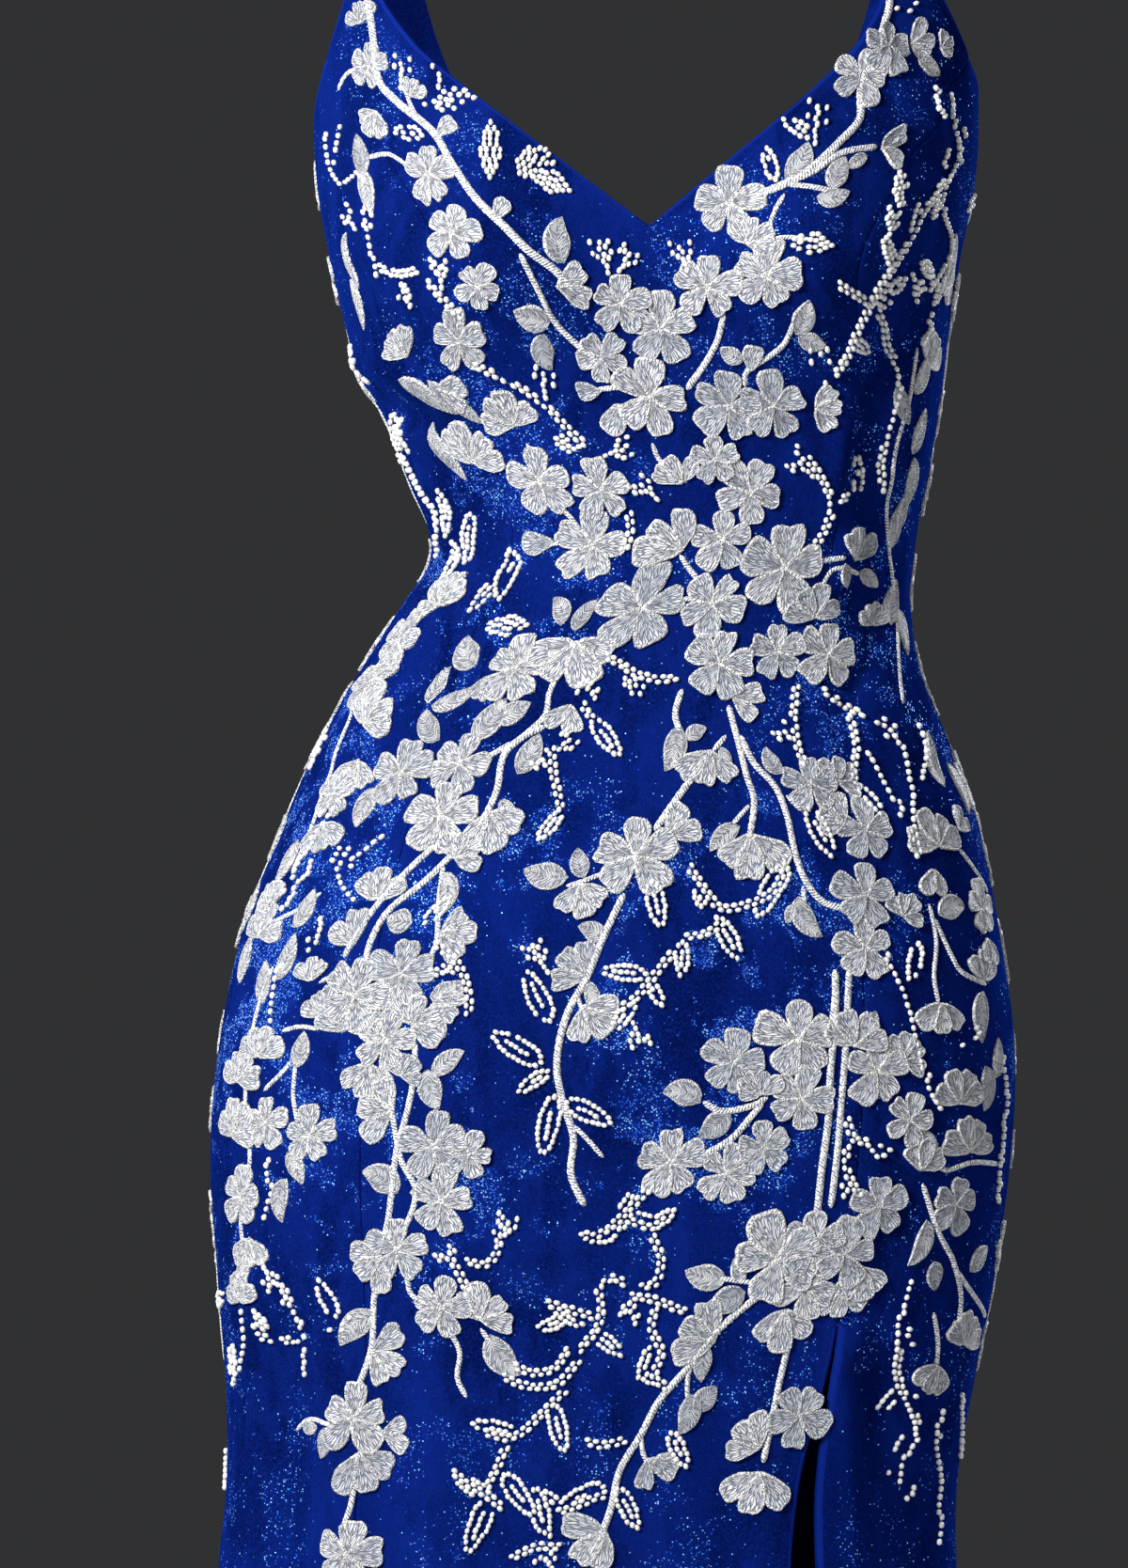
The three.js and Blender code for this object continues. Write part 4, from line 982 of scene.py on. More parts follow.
# Sprays of beads: kind, x and z of the stem's end, length, and the way it points
SPRAYS = (
    ("sprig", -108, -176, 18, 0), ("sprig", -92, -176, 15, 5), ("sprig", -98, -184, 20, 80),
    ("loop", -99, -197, 21, -82), ("sprig", -106, -257, 17, 200), ("sprig", -90, -263, 14, 0),
    ("sprig", -46, -310, 15, 20), ("bunch", -52, -214, 28, 115), ("sprig", -50, -212, 12, 40),
    ("sprig", -19, -257, 19, -15), ("sprig", -14, -256, 12, 30), ("sprig", 70, -201, 25, 5),
    ("loop", 69, -198, 20, -60), ("loop", 53, -217, 21, -20), ("bunch", 60, -244, 26, 95),
    ("sprig", 15, -256, 16, -15), ("sprig", 75, -304, 22, -15), ("loop", 112, -242, 22, 0),
    ("loop", 104, -254, 22, -40), ("loop", 121, -232, 20, 30), ("loop", 116, -252, 20, 110),
    ("sprig", 94, -271, 14, 60), ("loop", 86, -286, 16, 110), ("sprig", 120, -226, 16, 60),
    ("sprig", 69, -344, 14, -50), ("loop", 88, -353, 25, -5), ("bunch", -42, -329, 18, 95),
    ("sprig", -20, -335, 15, 70), ("sprig", 2, -354, 14, -45), ("loop", -92, -350, 28, 185),
    ("loop", -78, -360, 30, 190), ("loop", -61, -376, 30, 165), ("loop", -66, -388, 22, 200),
    ("loop", -86, -372, 24, 170), ("bunch", -71, -409, 28, 88), ("bunch", -11, -425, 22, 150),
    ("sprig", -24, -428, 14, 190), ("loop", -25, -450, 26, 140), ("sprig", -42, -464, 12, 40),
    ("sprig", -42, -472, 12, -50), ("loop", -39, -489, 20, 215), ("bunch", -128, -512, 22, -70),
    ("loop", -98, -537, 20, 40), ("loop", -148, -549, 19, 10), ("loop", -44, -579, 34, -30),
    ("loop", -48, -597, 34, -60), ("loop", -45, -601, 20, -125), ("loop", -42, -612, 34, 190),
    ("loop", -37, -614, 30, 115), ("sprig", -45, -558, 20, -35), ("loop", 21, -530, 18, -5),
    ("loop", 51, -525, 22, 35), ("loop", 56, -513, 33, 208), ("loop", 28, -535, 28, 150),
    ("loop", 0, -519, 28, 165), ("loop", 13, -545, 21, 180), ("loop", -3, -559, 25, -85),
    ("loop", -2, -562, 18, 145), ("loop", -8, -571, 22, 215), ("sprig", -8, -580, 12, 160),
    ("loop", 67, -488, 31, 155), ("sprig", 64, -460, 14, -50), ("bunch", 99, -449, 18, 150),
    ("loop", 90, -479, 18, 150), ("loop", 92, -634, 18, 100), ("sprig", 84, -642, 18, 165),
    ("loop", 2, -667, 24, -75), ("loop", -14, -669, 22, 15), ("loop", -16, -672, 21, -90),
    ("loop", 0, -668, 16, 50), ("sprig", -6, -697, 14, 200), ("loop", 1, -719, 22, 200),
    ("loop", 3, -735, 17, -60), ("loop", -25, -714, 22, 125), ("loop", -30, -710, 20, -60),
    ("loop", -38, -708, 17, -110), ("loop", -43, -745, 29, 160), ("loop", -58, -758, 27, -75),
    ("loop", -71, -784, 24, -60), ("loop", -70, -785, 34, 200), ("loop", -64, -775, 31, 140),
    ("loop", -46, -800, 28, -15), ("loop", -21, -780, 29, -115), ("loop", -38, -791, 20, -50),
    ("sprig", -44, -801, 18, 190), ("loop", -15, -781, 27, 150), ("loop", 8, -757, 23, 150),
    ("sprig", -64, -674, 14, 10), ("sprig", -84, -686, 12, -40), ("loop", -136, -707, 25, -30),
    ("loop", -152, -712, 24, -15), ("sprig", -150, -717, 23, 190), ("bunch", -166, -716, 15, -20),
    ("loop", 108, -738, 21, 215), ("loop", 110, -741, 14, 100), ("loop", 112, -757, 28, 195),
    ("sprig", 113, -772, 22, 165), ("sprig", -84, -560, 14, -60), ("bunch", -70, -217, 36, 4),
    ("sprig", -105, -332, 20, 5), ("bunch", 133, -208, 24, 10), ("bunch", 129, -212, 20, -20),
    ("sprig", -146, -503, 20, 215), ("bunch", -147, -509, 18, 200), ("sprig", -168, -684, 18, 150),
    ("bunch", -182, -720, 26, 185), ("loop", 115, -546, 24, 200), ("loop", 134, -590, 20, 60),
    ("bunch", 110, -714, 18, 100), ("sprig", -148, -470, 20, 10), ("sprig", -186, -768, 20, 185),
    ("bunch", -153, -516, 24, 190), ("bunch", 131, -196, 26, 5), ("bunch", 127, -188, 20, -25),
    ("loop", 126, -256, 22, -150), ("bunch", 107, -228, 24, -15), ("sprig", 101, -243, 18, 5),
    ("sprig", 112, -257, 18, 130), ("loop", 102, -264, 16, 65), ("sprig", 106, -141, 20, 80),
    ("bunch", -121, -244, 22, 5), ("sprig", -128, -237, 18, -50), ("bunch", -56, -216, 20, 20),
    ("sprig", -90, -182, 20, 70), ("sprig", -124, -301, 18, 0), ("sprig", 117, -286, 16, 40),
)

# Garlands down the sides and behind them: degrees round the rings, top and bottom
GARLANDS = ((-99, -196, -752), (-114, -206, -738), (99, -184, -764), (114, -198, -744))
MOTIF, CORD, LEAF, SPRAY = 0.74, 0.66, 0.84, 0.74  # sizes as shares of those in the tables
SPREAD, HEART_X, HEART_Z = 1.035, -38, -477  # the tables' places move out from a middle point by this factor
MIRRORED_WITHIN = math.radians(66)  # what lies this near the centre front has its like on the back
MARGIN = 0.42  # how far a motif's middle stays inside the cloth's edges there, as a share of its size
SEED = 41

KNOT_PITCH, SWAY = 21.0, math.radians(4.2)  # of a garland's stems, and how far it sways
MAIN_CORD, SIDE_CORD = 4.2, 3.2
BLOOMS_UP_TO, LEAVES_UP_TO, LOOPS_UP_TO = 0.56, 0.82, 0.93  # the draws that give a stem each kind of motif
ROOM, ROOM_SHARE = 8, 0.4  # how near a stem may come to a blossom: so far, and this share of its size

SIDE_GORE_DEGREES = {"front": 17, "back": 29}  # how wide a side gore is at its top
MM_PER_DEGREE = 2.6
ZIP_CLEAR = 1.5


def covered(angle, z, margin):
    """Whether places lie on cloth, at least a margin inside its edges and clear of the zip and the slit."""
    angle, z = np.broadcast_arrays(np.asarray(angle, float), np.asarray(z, float))
    degrees = (np.degrees(angle) + 180) % 360 - 180
    x = surface(angle, z)[..., 0]
    back = abs(degrees) > 90

    def of(tables, column):
        return np.where(back, tables["back"](column, z), tables["front"](column, z))

    neck = (z > np.where(back, BACK_V, FRONT_V) - margin) & (x > of(NECK, "right") - margin)
    bare = neck & (x < of(NECK, "left") + margin)
    bare |= (z > ARMHOLE_SEAM) & ((x < of(ARM, "right") + margin) | (x > of(ARM, "left") - margin))
    reach = np.where(back, SIDE_GORE_DEGREES["back"], SIDE_GORE_DEGREES["front"])
    near_side = np.clip(1 - abs(abs(degrees) - 90) / reach, 0, 1)
    underarm = np.where(degrees < 0, UNDERARM["right"], UNDERARM["left"])
    top = ARMHOLE_SEAM + (underarm - ARMHOLE_SEAM) * near_side ** UNDERARM_CURVE
    bare |= (near_side > 0) & (z > top - margin)
    bare |= back & (z > ZIP_BOTTOM) & (abs(x) < margin + ZIP_CLEAR)
    wide = margin / MM_PER_DEGREE
    seam = SEAMS("frontLeft", z)
    open_to = seam + SLIT("side", z) + wide
    bare |= (z < SLIT_TOP) & (degrees > seam - SLIT("front", z) - wide) & (degrees < open_to)
    return ~bare


def placed(x, z):
    """The angle and height of a place in the tables."""
    x = HEART_X + (np.asarray(x, float) - HEART_X) * SPREAD
    z = HEART_Z + (np.asarray(z, float) - HEART_Z) * SPREAD
    return angle_of(x, z), z


@lru_cache(1)
def layout():
    """Every motif's angle and height: the front's, their like on the back, and the garlands' between them."""
    rng = np.random.default_rng(SEED)
    plan = {"blooms": [], "leaves": [], "sprays": [], "vines": [], "chains": []}
    sprays = [(*row, kind) for kind, *row in SPRAYS]
    for kind, rows in (("blooms", BLOOMS), ("leaves", LEAVES), ("sprays", sprays)):
        places = np.array([row[:2] for row in rows], float)
        for (_, _, size, turn, shape), angle, z in zip(rows, *placed(*places.T)):
            plan[kind].append((angle, z, size, turn, shape))
            if abs(angle) < MIRRORED_WITHIN and covered(math.pi - angle, z, size * MARGIN):
                plan[kind].append((math.pi - angle, z, size, -turn, shape))
    for kind, rows in (("vines", [(w, *p) for w, *p in VINES]), ("chains", [(0, *p) for p in CHAINS])):
        for width, *points in rows:
            angle, z = placed(*np.array(points, float).T)
            plan[kind].append((width, angle, z))
            if abs(angle).min() < MIRRORED_WITHIN:
                plan[kind].append((width, math.pi - angle, z))
    for degrees, top, bottom in GARLANDS:
        garland(plan, rng, math.radians(degrees), top, bottom)
    return plan


def crowded(blooms, angle, z):
    """Whether a blossom already lies about a place."""
    wide = pace(angle, z)
    return any(
        math.hypot((angle - at) * wide, z - up) < ROOM + size * ROOM_SHARE for at, up, size, *_ in blooms
    )


def garland(plan, rng, centre, top, bottom):
    """A swaying vine with blossoms, leaves and bead sprays on short stems to its left and right."""
    z = np.arange(top, bottom, -KNOT_PITCH) + rng.uniform(-4, 4)
    sway = SWAY * np.sin(z / 33 + rng.uniform(0, 6))
    angle = centre + sway + np.radians(rng.uniform(-1.2, 1.2, len(z)))
    plan["vines"].append((MAIN_CORD, angle, z))
    reach = rng.uniform(10, 15, len(z)) * by_turns(len(z))
    tips = angle + reach / pace(angle, z)
    draws = rng.random(len(z))
    for knot in range(1, len(z)):
        tip, height, hand = tips[knot], z[knot] + rng.uniform(3, 11), np.sign(reach[knot])
        if not covered(tip, height, 11) or crowded(plan["blooms"], tip, height):
            continue
        rise = z[knot] + (height - z[knot]) * np.array([0, 0.3, 1])
        plan["vines"].append((SIDE_CORD, np.linspace(angle[knot], tip, 3), rise))
        turn = hand * rng.uniform(30, 110)
        if draws[knot] < BLOOMS_UP_TO:
            petals = (5, 5, 5, 4, 3)
            plan["blooms"].append((tip, height, rng.uniform(30, 43), turn, int(rng.choice(petals))))
        elif draws[knot] < LEAVES_UP_TO:
            plan["leaves"].append((tip, height, rng.uniform(20, 30), turn, rng.uniform(11, 15)))
            second = (rng.uniform(14, 20), turn + hand * 60, rng.uniform(8, 12))
            plan["leaves"].append((tip, height - 9, *second))
        else:
            kind = "loop" if draws[knot] < LOOPS_UP_TO else "sprig"
            plan["sprays"].append((tip, height, rng.uniform(20, 28), turn, kind))


# ---------------------------------------------------------------- shapes that lie on the cloth

class Needlework:
    """Gathers shapes as angles, heights and lifts, and makes one mesh of them."""

    def __init__(self):
        self.columns, self.blocks, self.count = [], [], 0

    def add(self, angle, z, lift, u, v, rim, tone, faces):
        stacked = np.stack([np.ravel(part) for part in np.broadcast_arrays(angle, z, lift, u, v, rim, tone)])
        self.columns.append(stacked)
        self.blocks += [block + self.count for block in faces]
        self.count += stacked.shape[1]

    def piece(self, name, material, slot):
        angle, z, lift, u, v, rim, tone = np.concatenate(self.columns, 1)
        data = {"uv": np.stack([u, v], 1), "rim": rim, "tone": tone}
        return keep(mesh_piece(name, laid(angle, z, lift), self.blocks, material, **data), slot)


def facing(angle):
    """Whether a shape at this angle belongs to the front."""
    return np.cos(angle) > 0


RISE_OVER = 0.34  # the share of its length over which a dome rises from its base
FAN_WIDTH, FAN_STEP, RAY_STEP = 0.62, 7.3, 3.1  # of the stitches' pattern


def domes(work, angle, z, turn, lift, outline, heart, rings, peak, unit, tone, base=1.0):
    """Low closed domes whose flat outlines close in, ring by ring, on their hearts.

    Rings hold a scale, a height and whether it is part of the raised rim. Unit is the length over which
    the threads fan out, and base is how high a dome is where it starts, as a share of its height."""
    count, sides = outline.shape[:2]
    scale, height, rim = np.array(rings).T
    middle = np.stack([np.zeros(count), heart], 1)[:, None]
    flat = middle[:, None] + scale[None, :, None, None] * (outline - middle)[:, None]
    flat = np.concatenate([flat.reshape(count, -1, 2), middle], 1)
    across, along = flat[..., 0], flat[..., 1]
    unit = unit[:, None]
    rise = np.append(np.repeat(height, sides), peak)[None]
    rise = np.where(rise > 0, rise * (base + (1 - base) * smooth(along / (RISE_OVER * unit))), rise)
    at, up = laid_out(angle[:, None], z[:, None], turn[:, None], across, along)
    own = np.arange(count)[:, None]  # no two domes take the same part of the stitches' pattern
    fan = np.arctan2(across, along + 1.0) * FAN_WIDTH * unit + FAN_STEP * own
    number = own[:, None] * flat.shape[1] + np.arange(len(rings) * sides).reshape(1, -1, sides)
    onward = np.roll(number, -1, 2)
    walls = np.stack([number[:, :-1], onward[:, :-1], onward[:, 1:], number[:, 1:]], -1).reshape(-1, 4)
    tip = np.broadcast_to(own * flat.shape[1] + flat.shape[1] - 1, (count, sides))
    caps = np.stack([number[:, -1], onward[:, -1], tip], -1).reshape(-1, 3)
    work.add(
        at, up, rise + lift[:, None], fan, np.hypot(across, along) + RAY_STEP * own,
        np.append(np.repeat(rim, sides), 0)[None], tone[:, None], [walls, caps, number[:, 0, ::-1]],
    )


PETAL_RINGS = ((1.03, -0.35, 1), (1.035, 0.5, 1), (0.97, 1.3, 1), (0.90, 1.25, 1), (0.78, 0.86, 0))
PETAL_SIDES = 22
FANS = {1: (0,), 2: (-29, 29), 3: (-48, 0, 48), 4: (-72, -24, 24, 72), 5: (0, 72, 144, 216, 288)}
WHOLE, FAN, LONE = 0.5, 0.62, 1.08  # a petal's length as shares of its blossom's size
SLIMMER = 0.84  # the petals of a fan
PALE_BLOOMS, PALE_PETALS = 0.14, 0.1  # how often stitches let the cloth show through
FULLEST = 0.6  # where a petal is widest, as a share of its length
PETAL_PEAK, PETAL_BASE = 1.05, 0.66


def petal_outlines(long, wide, phase, turned):
    """Flat outlines of petals that widen outwards, with a ruffled rim and a small notch."""
    around = round_places(PETAL_SIDES)
    long, wide, phase, turned = (values[:, None] for values in (long, wide, phase, turned))
    t = (1 - np.cos(around)) / 2
    ruffle = 1 + 0.04 * np.cos(3 * around + phase) + 0.03 * np.cos(5 * around + turned)
    ruffle += 0.02 * np.cos(8 * around + (phase + turned))
    x = wide / 2 * np.sin(around) * (0.34 + 0.86 * t) * ruffle
    notch = np.exp(-(((around - math.pi) / 0.34) ** 2)) * (0.04 + 0.07 * (np.sin(phase * 3) > 0))
    return np.stack([x, long * (FULLEST + (t - FULLEST) * ruffle - notch)], -1)


def blossoms(work, rows, rng, relief):
    """Petals of uneven size round each blossom's place."""
    petals = []
    for level, (angle, z, size, turn, count) in enumerate(rows):
        share = WHOLE if count == 5 else FAN
        pale = rng.random() < PALE_BLOOMS
        for k, fan in enumerate(FANS[count]):
            long = size * MOTIF * share * rng.uniform(0.88, 1.09) * (LONE if count == 1 else 1)
            wide = long * rng.uniform(0.76, 0.92) * (1.0 if count in (1, 5) else SLIMMER)
            tone = rng.uniform(0.0, 0.35) if pale or rng.random() < PALE_PETALS else rng.uniform(0.55, 1.0)
            way = turn + fan + rng.uniform(-7, 7)
            lift = 0.22 * (k % 2) + 0.16 * (level % 4)
            petals.append((angle, z, way, long, wide, lift, tone, *rng.uniform(0, 6.28, 2)))
    angle, z, way, long, wide, lift, tone, phase, turned = np.array(petals).T
    outline = petal_outlines(long, wide, phase, turned)
    rings = [(scale, height * relief if height > 0 else height, rim) for scale, height, rim in PETAL_RINGS]
    peak, heart = PETAL_PEAK * relief, FULLEST * long
    domes(work, angle, z, np.radians(way), lift, outline, heart, rings, peak, long, tone, PETAL_BASE)


STITCH_RUN = 1.3  # how much a slanting stitch is longer than the width it crosses


def ribbon(work, profile, angle, z, wide, tall, tone, slant, lift=0.0):
    """A closed low ribbon along a path. The profile holds shares of half its width, heights and the rim."""
    around = pace(angle, z)
    u, v = np.gradient(angle) * around, np.gradient(z)
    length = np.hypot(u, v)
    side_u, side_v = v / length, -u / length
    steps = np.hypot(np.diff(angle) * (around[1:] + around[:-1]) / 2, np.diff(z))
    run = np.concatenate([[0], np.cumsum(steps)])
    share, height, rim = np.array(profile).T
    across = share[None] * wide[:, None]
    at = angle[:, None] + side_u[:, None] * across / around[:, None]
    up = z[:, None] + side_v[:, None] * across
    rise = np.where(height > 0, height * tall[:, None], height) + lift
    if slant:
        flat_u, flat_v = run[:, None] - slant * abs(across) + grain_start(z), STITCH_RUN * abs(across)
    else:
        flat_u, flat_v = across, run[:, None] + grain_start(z)
    columns = len(share)
    number = np.arange(len(z) * columns).reshape(-1, columns)
    onward = np.roll(number, -1, 1)
    walls = np.stack([number[:-1], onward[:-1], onward[1:], number[1:]], -1).reshape(-1, 4)
    work.add(at, up, rise, flat_u, flat_v, rim[None], tone, [walls, number[:1, ::-1], number[-1:]])


def grain_start(z):
    """Where the stitches' pattern starts on a shape, so that no two look alike."""
    return 3.7 * (abs(float(z[0])) % 7)


def mirrored_profile(half, middle):
    """A ribbon's profile: shares of half its width, heights, and whether it is part of the raised rim."""
    return (*half, middle, *((-share, height, rim) for share, height, rim in reversed(half)))


CORD_PROFILE = mirrored_profile(((-1, -0.3, 0), (-0.98, 0.35, 0), (-0.66, 0.8, 0)), (0, 1.0, 0))
LEAF_PROFILE = mirrored_profile(
    ((-1.03, -0.35, 1), (-1.03, 0.5, 1), (-0.93, 1.25, 1), (-0.74, 0.92, 0), (-0.36, 0.98, 0)), (0, 0.6, 0)
)
CORD_PITCH, CORD_TALL, CORD_TAPER = 1.7, 0.44, 2.4  # the height is a share of the width
SHORTEST = 4  # points of a cord between two edges of the cloth
LEAF_POINTS, LEAF_SLANT, LEAF_BEND, LEAF_TIP = 11, 0.9, 0.16, 0.12
PALE_LEAVES = 0.15  # how often stitches let the cloth show through


def track(angle, z, pitch):
    """A smooth path through places, with points a pitch apart."""
    around = float(np.mean(pace(angle, z)))
    points = np.stack([np.asarray(angle) * around, z], 1)
    padded = np.concatenate([[2 * points[0] - points[1]], points, [2 * points[-1] - points[-2]]])
    t = np.linspace(0, 1, 10, endpoint=False)[:, None]
    bits = []
    for p, a, b, q in zip(padded, padded[1:], padded[2:], padded[3:]):
        bits.append(a + 0.5 * t * (b - p + t * (2 * p - 5 * a + 4 * b - q + t * (3 * (a - b) + q - p))))
    curve = np.concatenate([*bits, points[-1:]])
    across, up = resampled(curve, lambda run: max(3, int(run / pitch) + 1))
    return across / around, up


def stretches(mask, least):
    """The unbroken stretches of a mask, as slices."""
    ends = np.flatnonzero(np.diff(np.concatenate([[0], mask.astype(int), [0]])))
    return [slice(a, b) for a, b in zip(ends[::2], ends[1::2]) if b - a >= least]


def cords(work_of, rng, relief):
    """Couched cords with tapered ends."""
    for width, angle, z in layout()["vines"]:
        width = width * CORD
        angle, z = track(angle, z, CORD_PITCH)
        for part in stretches(covered(angle, z, width / 2), SHORTEST):
            a, h = angle[part], z[part]
            run = np.arange(len(h)) * CORD_PITCH
            taper = np.sqrt(np.clip(np.minimum(run, run[::-1]) / CORD_TAPER + 0.12, 0, 1))
            twist = 1 + 0.07 * np.sin(run * 1.9 + rng.uniform(0, 6))
            wide, tall = width / 2 * taper * twist, width * CORD_TALL * relief * taper
            ribbon(work_of(a[len(a) // 2]), CORD_PROFILE, a, h, wide, tall, rng.uniform(0.6, 1), 0)


def leaves(work_of, rng, relief):
    """Slightly curved leaves with a midrib."""
    t = np.linspace(0, 1, LEAF_POINTS)
    full = np.sin(math.pi * t ** 0.84) ** 0.8
    tall = relief * (0.4 + 0.6 * np.sqrt(full))
    for angle, z, length, turn, width in layout()["leaves"]:
        length, width = length * LEAF, width * LEAF
        bend = rng.uniform(-LEAF_BEND, LEAF_BEND)
        along, across = (t - 0.5) * length, bend * length * (4 * t * (1 - t) - 0.5)
        path = laid_out(angle, z, math.radians(turn), across, along)
        wide = width / 2 * full + LEAF_TIP
        tone = rng.uniform(0, 0.3) if rng.random() < PALE_LEAVES else rng.uniform(0.5, 1)
        lift = rng.uniform(0, 0.25)
        ribbon(work_of(angle), LEAF_PROFILE, *path, wide, tall, tone, LEAF_SLANT, lift)


TWIGS = ((0.3, 1), (0.42, -1), (0.66, 1), (0.78, -1))  # a sprig's: where each starts, and its side


def spray(kind, length, pitch):
    """Places of a spray's beads, across and along it from its stem."""
    if kind == "sprig":  # a stem with four short twigs
        spots = [(0.5 * math.sin(b), b) for b in np.arange(0, length, pitch)]
        for start, hand in TWIGS:
            spots += [(hand * pitch * k * 0.75, length * start + pitch * k * 0.75) for k in (1, 2)]
        return np.array(spots)
    if kind == "bunch":  # rows that swell and close again
        rows, spots = max(4, round(length / (pitch * 0.9))), []
        for row in range(rows):
            beads = 1 + round(2.6 * math.sin(math.pi * (row + 0.6) / rows))
            spots += [((k - (beads - 1) / 2) * pitch * 1.02, (row + 0.5) * pitch * 0.9) for k in range(beads)]
        return np.array(spots)
    half = max(length * 0.2, pitch * 1.02)  # a leaf-shaped loop with a row down its middle
    around = np.linspace(0, 2 * math.pi, 120)
    bulge = np.sqrt((1 + np.cos(around) * 0.35) / 1.35)
    outline = np.stack([half * np.sin(around) * bulge, length * (1 - np.cos(around)) / 2], 1)
    spots = list(zip(*resampled(outline, lambda run: round(run / pitch), closed=True)))
    return np.array(spots + [(0.0, b) for b in np.arange(length * 0.3, length * 0.76, pitch)])


NEAREST, JITTER = 0.74, 0.3  # beads keep this share of their pitch apart, and lie this unevenly
CHAIN_PITCH, CHAIN_ROWS = 0.66, 0.40  # a chain's two staggered rows, as shares of the pitch
CELL = 3  # of the grid in which near beads are looked for


def bead_places(rng, pitch):
    """Every bead's angle, height and turn."""
    places = []
    for _, angle, z in layout()["chains"]:
        a, h = track(angle, z, pitch * CHAIN_PITCH)
        around = pace(a, h)
        turn = np.arctan2(np.gradient(a) * around, np.gradient(h))
        hand = by_turns(len(a)) * CHAIN_ROWS * pitch
        a, h = a + hand * np.cos(turn) / around, h - hand * np.sin(turn)
        places.append(np.stack([a, h, turn], 1)[covered(a, h, 2)])
    for angle, z, length, turn, kind in layout()["sprays"]:
        way = math.radians(turn)
        a, h = laid_out(angle, z, way, *spray(kind, length * SPRAY, pitch).T)
        places.append(np.stack([a, h, np.full(len(a), way)], 1)[covered(a, h, 1.5)])
    places = np.concatenate(places)
    around = pace(places[:, 0], places[:, 1])
    places[:, 0] += rng.uniform(-JITTER, JITTER, len(places)) / around
    places[:, 1] += rng.uniform(-JITTER, JITTER, len(places))
    kept, cells = [], {}
    for row, wide in zip(places, around):  # no bead lies on another
        u, v = row[0] * wide, row[1]
        cell = (int(u // CELL), int(v // CELL))
        about = [(cell[0] + i, cell[1] + j) for i in (-1, 0, 1) for j in (-1, 0, 1)]
        close = [other for spot in about for other in cells.get(spot, ())]
        if all(math.hypot(u - p, v - q) > pitch * NEAREST for p, q in close):
            cells.setdefault(cell, []).append((u, v))
            kept.append(row)
    return np.array(kept)


BEAD_RINGS = ((0.8, -0.3, 0), (1.0, 0.55, 0), (0.74, 1.25, 0))
BEAD_SIDES, BEAD_WIDE, BEAD_LONG, BEAD_PEAK = 8, 0.92, 1.2, 1.5


def beads(work, places, radius, rng):
    """Small domed beads, a little longer than wide."""
    count = len(places)
    around = round_places(BEAD_SIDES)
    size = radius * rng.uniform(0.88, 1.06, count)[:, None]
    outline = np.stack([np.sin(around) * size * BEAD_WIDE, -np.cos(around) * size * BEAD_LONG], -1)
    rings = [(scale, height * radius, rim) for scale, height, rim in BEAD_RINGS]
    flat, tone = np.zeros(count), rng.uniform(0.3, 1, count)
    domes(work, *places.T, flat, outline, flat, rings, BEAD_PEAK * radius, flat + radius, tone)


# ---------------------------------------------------------------- the zip and the straps

TAPE_HALF, TAPE_LIFT, TAPE_THICK, TAPE_EDGE = 12.0, -1.9, 0.9, 0.3
TAPE_ROWS, TAPE_COLUMNS = 150, 17
COIL_PITCH, COIL_HALF, COIL_SIDES, COIL_APART = 1.5, 0.42, 6, 0.3
TOOTH_RINGS = ((0.9, -0.3, 0), (1.0, 0.5, 0), (0.6, 0.95, 0))


def tape(material):
    """The zip's tape, which lies behind the centre back seam."""
    low, high = (corner.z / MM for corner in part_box("zip_tape"))
    z = np.linspace(high, low, TAPE_ROWS)[:, None]
    across = np.linspace(-TAPE_HALF, TAPE_HALF, TAPE_COLUMNS)[None]
    angle = shifted(math.pi, z, across)
    z = np.broadcast_to(z, angle.shape)
    rim = np.minimum(TAPE_HALF - abs(across), TAPE_EDGE) / TAPE_EDGE
    lift = TAPE_LIFT - TAPE_EDGE * (1 - rim) + 0 * z
    return shell("woven_zip_tape", [(angle, z, lift, 0 * z)], material, TAPE_LIFT - TAPE_THICK)


def coil(material):
    """The zip's closed coil: small teeth that lie by turns a little to the left and right."""
    low, high = (corner.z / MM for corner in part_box("zip_tape"))
    z = np.arange(high - 2, low + 2, -COIL_PITCH)
    angle = shifted(math.pi, z, by_turns(len(z)) * COIL_APART)
    around = round_places(COIL_SIDES)
    outline = np.stack([np.sin(around) * COIL_HALF * 1.15, -np.cos(around) * COIL_HALF * 1.5], -1)
    outline = np.broadcast_to(outline, (len(z), *outline.shape[1:]))
    work = Needlework()
    flat = np.zeros(len(z))
    domes(work, angle, z, flat, flat + TAPE_LIFT, outline, flat, TOOTH_RINGS, 1.1, flat + 1, flat + 0.5)
    return work.piece("zip_coil", material, "zip_metal")


